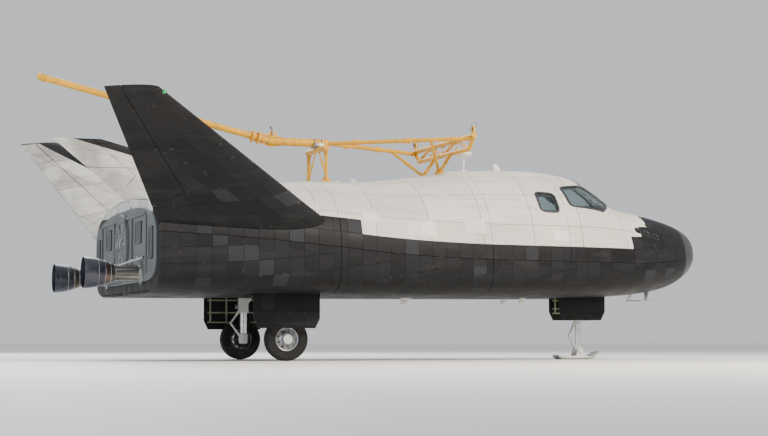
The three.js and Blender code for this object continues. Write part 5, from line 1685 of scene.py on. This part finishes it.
def makeSpreader():
    f = lift
    s, r = f["spreaderStation"], f["spreaderRadius"]
    topHalf, lowHalf = f["spreaderHalf"], f["spreaderLowHalf"]
    top = lambda y: point(s, y, f["spreaderTop"])
    low = lambda y: point(s, y, f["spreaderBottom"])
    parts = [collar("chord", top(-topHalf), top(topHalf), r, 0.004),
             collar("chord", low(-lowHalf), low(lowHalf), r, 0.004)]
    for i in range(4):
        start, end = -lowHalf + i * lowHalf / 2, -lowHalf + (i + 1) * lowHalf / 2
        ends = (low(end), top(start)) if i % 2 else (top(end), low(start))
        parts.append(rod("lacing", *ends, r * 0.6, faces=24))
    for y in (-lowHalf / 2, 0, lowHalf / 2):  # node plates where the lacing meets the chords
        for node, lean in ((top, -1), (low, 1)):
            near, far = lean * 0.02, lean * 0.062
            outline = [(-0.075, near), (0.075, near), (0.035, far), (-0.035, far)]
            parts.append(plate("nodePlate", outline, axesOf(node(y), across, upward, forward), 0.008, 0))
    shackles = []
    for side in sides.values():
        parts.append(rod("endRod", top(side * (topHalf - 0.03)), low(side * lowHalf), r * 0.8))
        parts += [weld(top(side * (topHalf - inset)), across, r + 0.001, 0.003) for inset in (0.1, 0.28)]
        foot = top(side * (topHalf - f["tubeInset"])) + upward * 0.015
        body, eye = lugPlate(foot, across, forward)
        parts.append(body)
        shackles += shackle(eye, forward, Vector((0, side * 0.5, 1)))
    assemble("frontSpreader", parts, "lift", "lift_paint", replaces=["front_spreader"])
    return shackles


def makeTubesAndPosts():
    f = lift
    s, radius, post = f["spreaderStation"], f["tubeRadius"], f["postRadius"]
    reach = f["spreaderHalf"] - f["tubeInset"]
    for sideName, side in sides.items():
        start = point(f["spineFore"] - 0.02, side * f["tubeStart"], f["tubeHeight"])
        end = point(s, side * reach, f["tubeHeight"] + 0.01)
        way = (end - start).normalized()
        parts = [rod("long", start, end, radius, faces=32)]
        for share in (0.16, 0.52):
            ends = start.lerp(end, share), start.lerp(end, share + 0.05)
            parts.append(collar("sleeve", *ends, radius * 1.25, 0.003))
            for t in (0.012, 0.038):
                parts.append(through("bolt", start.lerp(end, share + t), upward * 0.046, 0.008, 6))
        parts.append(collar("end", end - way * 0.11, end - way * 0.03, radius * 1.2, 0.003))
        assemble(f"frameTube_{sideName}", parts, "lift", "lift_paint", replaces=[f"frame_tube_{sideName}"])
        station, y = f["frontPostStation"], side * f["frontPostY"]
        foot, top = point(station, y, deckHeight(station, y) + 0.01), point(s, y, f["spreaderBottom"])
        share = (f["spineFore"] - f["braceStation"]) / (f["spineFore"] - s)
        head = point(f["braceStation"], side * reach * share, f["tubeHeight"])
        up = (top - foot).normalized()
        parts = [rod("post", foot, top, post, faces=32), rod("brace", foot, head, post * 0.8),
                 *padOn(station, y),
                 collar("sleeve", foot + up * 0.02, foot + up * 0.07, post * 1.25, 0.003),
                 weld(top - up * 0.04, up, post + 0.002, 0.004),
                 rod("adjuster", foot.lerp(head, 0.42), foot.lerp(head, 0.58), post * 1.1, faces=6)]
        assemble(f"frontPost_{sideName}", parts, "lift", "lift_paint", replaces=[f"front_post_{sideName}"])


def makeLiftingFrame():
    shackles = makeBoom()
    clamps = makeCrossbar()
    shackles += makeSpreader()
    makeTubesAndPosts()
    assemble("frameFastenings", clamps + shackles, "steel", "lift_paint")


def makeMast():
    s, reach, half = mast["station"], mast["headRadius"], mast["headHalf"]
    foot, head = point(s, 0, deckHeight(s, 0)), point(s, 0, mast["height"])
    footForm = [(0.001, -0.02), (0.045, -0.02), (0.045, 0.009), (0.041, 0.014), (0.02, 0.016), (0.015, 0.03),
                (0.001, 0.03)]
    headForm = [(0.001, -half), (0.012, -half + 0.004), (reach - 0.004, -0.01), (reach, -0.006),
                (reach, 0.006), (reach - 0.004, 0.01), (0.012, half - 0.004), (0.001, half)]
    parts = [rod("mastTube", foot - upward * 0.01, head, mast["radius"]),
             turned("foot", footForm, foot, upward, 40),
             *bolts(foot + upward * 0.013, upward, 0.034, 6, 0.005, 0.004),
             turned("head", headForm, head, upward, 48),
             collar("sleeve", head - upward * 0.11, head - upward * 0.055, 0.019, 0.003)]
    assemble("antennaMast", parts, "antenna", "lift_paint", replaces=["antenna_mast"])


# Outside fittings

access = {
    "proud": 0.003, "sunk": 0.006, "corner": 0.03, "screwInset": 0.018, "screwEvery": 0.06,
    "panels": [
        # station, height, half length, half height
        (3.95, 0.92, 0.16, 0.11), (4.75, 0.86, 0.22, 0.12), (5.45, 1.0, 0.13, 0.09),
        (6.35, 1.12, 0.2, 0.08), (7.15, 1.12, 0.12, 0.07), (4.3, 1.3, 0.12, 0.08), (2.62, 0.82, 0.11, 0.08),
    ],
}
jet = {
    "radius": 0.043, "depth": 0.1, "lip": 0.006,
    "places": [(0.93, 0.86), (1.08, 0.9), (1.23, 0.94), (0.98, 1.02), (7.32, 1.03), (7.47, 1.02)],
}
aerial = {
    "blades": [
        # station, y, on the deck, length, chord
        (2.98, 0, True, 0.1, 0.12), (5.05, 0.12, True, 0.08, 0.1), (4.35, 0, False, 0.09, 0.13),
        (2.75, 0.35, False, 0.07, 0.1), (2.75, -0.35, False, 0.07, 0.1),
    ],
    "shoe": (0.085, 0.028, 0.006), "domeStation": 5.35, "probeStation": 0.82, "probeY": 0.26,
}


def jetCutters(low, high):
    cutters = []
    for station, height in jet["places"]:
        if low < station < high:
            for side in sides.values():
                axes = deckPatch(station, height, side)
                start, end = axes @ Vector((0, 0, -jet["depth"])), axes @ Vector((0, 0, 0.1))
                cutters.append(rod("jetHole", start, end, jet["radius"], faces=40))
    return cutters


def makeJets():
    # small thrusters whose bells end flush with the skin
    r, depth, lip = jet["radius"], jet["depth"], jet["lip"]
    bell = [(0.001, 0.02 - depth), (r * 0.3, 0.02 - depth), (r * 0.55, 0.035 - depth),
            (r * 0.76, -depth * 0.5), (r * 0.86, -0.012), (r * 0.88, 0), (r * 0.94, 0),
            (r * 0.9, 0.01 - depth), (0.001, 0.008 - depth)]
    ring = [(r * 0.96, -0.012), (r * 0.96, 0.004), (r * 1.04, lip), (r * 1.3, lip * 0.9), (r * 1.34, -0.004),
            (r * 1.1, -0.012)]
    bells, rings = [], []
    for station, height in jet["places"]:
        for side in sides.values():
            axes = deckPatch(station, height, side)
            out, origin = axes.to_3x3() @ upward, axes @ Vector((0, 0, -0.004))
            bells.append(turned("bell", bell, origin, out, 36))
            rings.append(turned("ring", ring, origin, out, 36, closed=True))
    assemble("thrusterBells", bells, "nozzle", "nozzle_metal")
    assemble("thrusterRings", rings, "retainer", "upper_panel")


def makeAccessPanels():
    cutters, screws, inset = [], [], access["screwInset"]
    for station, height, length, tall in access["panels"]:
        for side in sides.values():
            axes = deckPatch(station, height, side)
            cover = rounded(rectangle(0, 0, length, tall), access["corner"])
            cutters.append(prism("accessCutter", cover, axes, -0.12, 0.12))
            inner = rounded(rectangle(0, 0, length - inset, tall - inset), 0.02)
            screws += screwsAlong(inner, axes, access["screwEvery"], access["proud"], 0.0048)
    covers = carve(joined("accessPanels", cutters), deckLayer(0.4, 7.6, access["proud"], -access["sunk"]),
                   operation="INTERSECT")
    dress(bevelled(covers, 0.0015), "cover", "upper_panel")
    assemble("accessScrews", screws, "steel", "upper_panel")


def blade(foot, out, length, chord, thickness=0.012):
    # a swept blade aerial
    corners = [(-chord / 2, -0.01), (chord / 2, -0.01), (chord * 0.62, length), (chord * 0.2, length)]
    axes = axesOf(foot, aft, out, aft.cross(out))
    return plate("blade", rounded(corners, 0.006), axes, thickness, thickness * 0.3)


def makeAerials():
    parts = []
    for station, y, onDeck, length, chord in aerial["blades"]:
        foot = point(station, y, deckHeight(station, y) if onDeck else 0)
        parts.append(blade(foot, upward if onDeck else -upward, length, chord))
    for spot in (point(2.98, 0, deckAt(2.98)), point(4.35, 0, 0.001)):
        parts.append(block("shoe", spot, aerial["shoe"], 0.005))
    dome = [(0.001, 0.036), (0.03, 0.032), (0.052, 0.018), (0.06, 0.0), (0.06, -0.02), (0.001, -0.02)]
    station = aerial["domeStation"]
    parts.append(turned("dome", dome, point(station, 0, deckAt(station) - 0.004), upward, 40))
    assemble("aerials", parts, "antenna", "upper_panel")
    parts = []
    station = aerial["probeStation"]
    foot = [(0.001, 0.006), (0.045, 0.006), (0.05, 0.0), (0.05, -0.03), (0.001, -0.03)]
    for side in sides.values():  # air-data probes under the nose
        root = point(station, side * aerial["probeY"], bellyAt(station) + 0.012)
        out = (across * side * 0.25 - upward).normalized()
        nose = root + out * 0.125
        parts += [blade(root, out, 0.13, 0.075, 0.014),
                  rod("tube", nose - forward * 0.06, nose + forward * 0.14, 0.011, 0.009, 20),
                  rod("tip", nose + forward * 0.139, nose + forward * 0.19, 0.0088, 0.0035, 20),
                  turned("foot", foot, root, -upward, 32)]
    assemble("airDataProbes", parts, "steel", "belly_tile")


def makeLights():
    for sideName, side in sides.items():
        rootLead, rootTrail, tipLead, tipTrail = foilCorners(wing, side)
        spot = tipLead.lerp(rootLead, 0.03).lerp(tipTrail, 0.05)
        lens = ball(f"wingLight_{sideName}", spot, 0.03, (1.9, 0.8, 1.0), 28)
        dress(lens, "red" if side > 0 else "green", "upper_panel")
    lenses = [ball("lens", point(baseStation + 0.028, y, 1.12), 0.02, (0.8, 1, 1), 20) for y in (-0.5, 0.5)]
    assemble("tailLights", lenses, "glass", "bulkhead_panel")


# Cabin

panelForm = {
    "station": 1.8, "depth": 0.11, "half": 0.56, "bottom": 0.8, "top": 1.12, "pedestal": 0.15,
    "screens": (-0.42, -0.2, 0.0, 0.2, 0.42), "screenHeight": 0.965, "knobHeight": 0.852, "stickY": 0.22,
    "stick": [(0.1, 0.8), (0.14, 0.81), (0.16, 0.86), (0.158, 0.92)],
}
rearDoor = {"height": 1.02, "outer": 0.4, "inner": 0.34, "wheel": 0.09}
seatForm = {
    "station": 2.28, "y": 0.43, "lean": math.atan2(0.13, 0.78),
    "pads": [
        # name, aft of the station, above the floor, size, whether it leans back
        ("seatPad", 0.23, 0.262, (0.39, 0.35, 0.06), False),
        ("backPad", 0.488, 0.455, (0.045, 0.33, 0.36), True),
        ("headPad", 0.528, 0.72, (0.045, 0.22, 0.1), True),
    ],
    "shoulderBelt": [(0.585, 0.7), (0.54, 0.69), (0.47, 0.62), (0.42, 0.4), (0.34, 0.325), (0.25, 0.308)],
    "lapBelt": [(-0.19, 0.24), (-0.17, 0.3), (-0.06, 0.312), (0.06, 0.312), (0.17, 0.3), (0.19, 0.24)],
}
puff = {"voxel": 0.005, "pressure": 4.0, "frames": 20, "most": 0.02}


def makePanel():
    form = panelForm
    s, depth, half, low, high = form["station"], form["depth"], form["half"], form["bottom"], form["top"]
    outline = [
        (s, high - 0.05), (s + 0.02, high), (s + depth, high - 0.012), (s + depth - 0.012, high - 0.05),
        (s + depth - 0.03, low + 0.03), (s + depth - 0.06, low), (s, low + 0.04),
    ]
    axes = axesOf(point(0, -half, 0), aft, upward, across)
    body = bevelled(prism("panelBody", outline, axes, 0, 2 * half), 0.006, 3, 30)
    start = point(s + depth - 0.02, -form["pedestal"], chineAt(s) + 0.001)
    pedestal = box("pedestal", start, point(s + 0.02, form["pedestal"], low + 0.02), 0.008)
    console = joined("instrumentPanel", [body, pedestal])
    dress(console, "cabinPlastic", "cabin_trim", replaces=["instrument_panel"])
    faceAt = lambda height: s + depth - 0.03 + 0.018 * (height - low - 0.03) / (high - low - 0.08)
    h, knobHeight = form["screenHeight"], form["knobHeight"]
    near = faceAt(h)
    screens, trim = [], []
    for y in form["screens"]:
        trim.append(block("bezel", point(near - 0.001, y, h), (0.009, 0.095, 0.082), 0.004))
        screens.append(block("display", point(near + 0.00475, y, h), (0.00475, 0.078, 0.064), 0.001))
        for i in range(5):
            spot = point(near + 0.009, y - 0.06 + i * 0.03, h - 0.074)
            trim.append(block("key", spot, (0.002, 0.008, 0.004), 0.001))
        for i in range(4):
            spot = point(faceAt(0.86), y - 0.06 + i * 0.04, knobHeight)
            trim.append(rod("knob", spot + forward * 0.002, spot + aft * 0.016, 0.009, 0.0075, 16))
    for side in sides.values():  # a hand controller on each side of the pedestal
        y = side * form["stickY"]
        stick = [point(s + behind, y, height) for behind, height in form["stick"]]
        trim += [tube("stick", stick, 0.011), ball("grip", point(s + 0.158, y, 0.93), 0.02, (1, 1, 1.7), 16)]
    assemble("panelScreens", screens, "screen", "cabin_trim")
    assemble("panelBezels", trim, "retainer", "cabin_trim")


def makeFloorAndWall():
    stations = steps(seams["cockpit"] + 0.08, seams["middle"] - 0.01, 0.2)
    outline = [(s, halfWidthAt(s) - 0.07) for s in stations]
    outline += [(s, -y) for s, y in reversed(outline)]
    axes = axesOf(Vector((noseX, 0, bellyZ)), aft, across, upward)
    dress(prism("cabinFloor", outline, axes, 0.4755, 0.482), "mat", "cabin_trim")
    ring = halfSection(seams["middle"] - 0.008, True, -cabinWall - 0.002, 0.01, 30)
    wall = wrapped("rearWall", len(ring), 2, lambda column, row: ring[column] + forward * (0.012 * row))
    dress(wall, "liner", "cabin_trim")
    inner, outer, wheel = rearDoor["inner"], rearDoor["outer"], rearDoor["wheel"]
    centre = point(seams["middle"] - 0.018, 0, rearDoor["height"])
    profile = [(inner, 0), (outer, 0), (outer, 0.018), (outer - 0.03, 0.026), (inner, 0.02)]
    parts = [turned("doorRing", profile, centre, forward, 56, closed=True),
             rod("doorDisc", centre + aft * 0.002, centre + forward * 0.012, inner + 0.002, faces=56),
             rod("hub", centre, centre + forward * 0.07, 0.018, faces=20)]
    parts += handWheel(centre + forward * 0.06, across, upward, wheel, 0.008, 0.006)
    assemble("rearWallDoor", parts, "bulkhead", "cabin_trim")


def cushion(name, centre, size, tilt):
    # a filled pad, whose faces are pressed out by cloth under pressure
    piece = box(name, [-a / 2 for a in size], [a / 2 for a in size], min(size) * 0.3, 4)
    turn = Matrix.Translation(centre) @ Matrix.Rotation(tilt, 4, "Y")
    modify(piece, "REMESH", mode="VOXEL", voxel_size=puff["voxel"])
    rest = [vertex.co.copy() for vertex in piece.data.vertices]
    pick(piece)
    cloth = piece.modifiers.new("cloth", "CLOTH")
    cloth.settings.use_pressure = True
    cloth.settings.uniform_pressure_force = puff["pressure"]
    cloth.settings.effector_weights.gravity = 0
    for step in range(1, puff["frames"] + 1):
        bpy.context.scene.frame_set(step)
    bpy.ops.object.modifier_apply(modifier="cloth")
    bpy.context.scene.frame_set(1)
    for vertex, start in zip(piece.data.vertices, rest):
        move = vertex.co - start
        if move.length > puff["most"]:
            vertex.co = start + move * (puff["most"] / move.length)
    for vertex in piece.data.vertices:
        vertex.co = turn @ vertex.co
    return piece


def makeSeats():
    form, station = seatForm, seatForm["station"]
    floor = chineAt(station) + 0.001
    back = [(station + 0.47, floor + 0.2), (station + 0.5, floor + 0.2), (station + 0.585, floor + 0.775),
            (station + 0.558, floor + 0.78)]
    cheek = [(station + 0.42, floor + 0.2), back[1], back[2], (station + 0.51, floor + 0.74)]
    for sideName, side in sides.items():
        at = lambda behind, out, height: point(station + behind, side * form["y"] + out, floor + height)
        frameParts = [box("pan", at(0.47, -0.19, 0.2), at(0.03, 0.19, 0.225), 0.008)]
        for y in (-0.17, 0.17):  # rails on the floor
            frameParts.append(box("rail", at(0.52, y - 0.02, 0), at(0.06, y + 0.02, 0.03), 0.004))
        for y in (-0.16, 0.16):
            for behind in (0.1, 0.42):
                ends = at(behind, y, 0.02), at(behind - 0.02, y, 0.21)
                frameParts.append(rod("leg", *ends, 0.014, faces=16))
        for y, outline, width in ((-0.195, back, 0.39), (-0.2, cheek, 0.015), (0.185, cheek, 0.015)):
            axes = axesOf(point(0, side * form["y"] + y, 0), aft, upward, across)
            frameParts.append(prism("backShell", outline, axes, 0, width))
        seatFrame = bevelled(joined(f"seatFrame_{sideName}", frameParts), 0.003, 1)
        dress(seatFrame, "gear", "seat_fabric", replaces=[f"seat_{sideName}"])
        for name, behind, height, size, leans in form["pads"]:
            pad = cushion(f"{name}_{sideName}", at(behind, 0, height), size, -form["lean"] if leans else 0.0)
            dress(pad, "seat", "seat_fabric", degrees=60)
        straps = [tube("belt", [at(0.33, y, height) for y, height in form["lapBelt"]], 0.012)]
        for y in (-0.075, 0.075):  # the shoulder belts close in towards the buckle
            route = enumerate(form["shoulderBelt"])
            spots = [at(behind, y * (1 - 0.1 * i), height) for i, (behind, height) in route]
            straps.append(tube("belt", spots, 0.012))
        assemble(f"harness_{sideName}", straps, "strap", "seat_fabric")


makeShells()
print("shells made")
makeWindows()
print("windows made")
makeFlaps()
makeWings()
print("flaps and wings made")
makeHatch()
makeHatchInside()
remove(cavity, cabinLayer)
makeBase()
makeDock()
makeNozzles()
print("hatch, base and engines made")
makeWheels()
makeMainLegs()
makeDoors()
makeBays()
makeNoseGear()
makeSkid()
print("landing gear made")
makeLiftingFrame()
makeMast()
makeJets()
makeAccessPanels()
makeAerials()
makeLights()
print("lifting frame made")
makePanel()
makeFloorAndWall()
makeSeats()
print("cabin made")


# Stage, light and camera

view = {"azimuth": -18, "distance": 27, "cameraHeight": 0.25, "aimHeight": 1.95, "aimX": 0.05, "lens": 92,
        "clipEnd": 500}
stage = {
    "floor": 400, "floorColour": "efeeea", "sky": "d9dee6", "horizon": "dfe1e4", "skyStrength": 0.95,
    "aim": 1.6,
    "lights": [
        # place, size, power, colour
        ((8, -13, 11), 4.5, 5200, "fff1e0"),
        ((-14, -8, 5), 7, 1100, "eaf2ff"),
        ((-3, 13, 11), 8, 2300, "ffffff"),
    ],
}


def facing(spot, aim):
    return (aim - spot).to_track_quat("-Z", "Y").to_euler()


def makeStage():
    bpy.ops.mesh.primitive_plane_add(size=stage["floor"])
    floor = named("studioFloor")
    look = Finish("studioFloorPaint", {"Roughness": 0.6})
    look.set({"Base Color": paint(stage["floorColour"])})
    floor.data.materials.append(look.material)
    world = bpy.data.worlds.new("studio")
    bpy.context.scene.world = world
    world.use_nodes = True
    tree = world.node_tree
    upwards = addNode(tree, "SeparateXYZ", values={0: addNode(tree, "TexCoord", output=0)}, output=2)
    fade = upwards.ramp(-0.02, 0.45)
    ends = {0: fade, 6: paint(stage["horizon"]), 7: paint(stage["sky"])}
    shade = addNode(tree, "Mix", {"data_type": "RGBA"}, ends, 2)
    tree.links.new(shade.socket, tree.nodes["Background"].inputs["Color"])
    tree.nodes["Background"].inputs["Strength"].default_value = stage["skyStrength"]
    for i, (spot, size, power, colour) in enumerate(stage["lights"]):
        bpy.ops.object.light_add(type="AREA", location=spot)
        lamp = bpy.context.object
        lamp.name = f"softLight{i}"
        lamp.data.size, lamp.data.energy, lamp.data.color = size, power, paint(colour)[:3]
        lamp.rotation_euler = facing(Vector(spot), upward * stage["aim"])


def makeCamera():
    turn, distance = math.radians(view["azimuth"]), view["distance"]
    spot = Vector((math.sin(turn) * distance, -math.cos(turn) * distance, view["cameraHeight"]))
    aim = Vector((view["aimX"], 0, view["aimHeight"]))
    bpy.ops.object.camera_add(location=spot, rotation=facing(spot, aim))
    camera = bpy.context.object
    camera.data.lens = view["lens"]
    camera.data.clip_end = view["clipEnd"]
    bpy.context.scene.camera = camera


makeStage()
makeCamera()
print("scene ready")
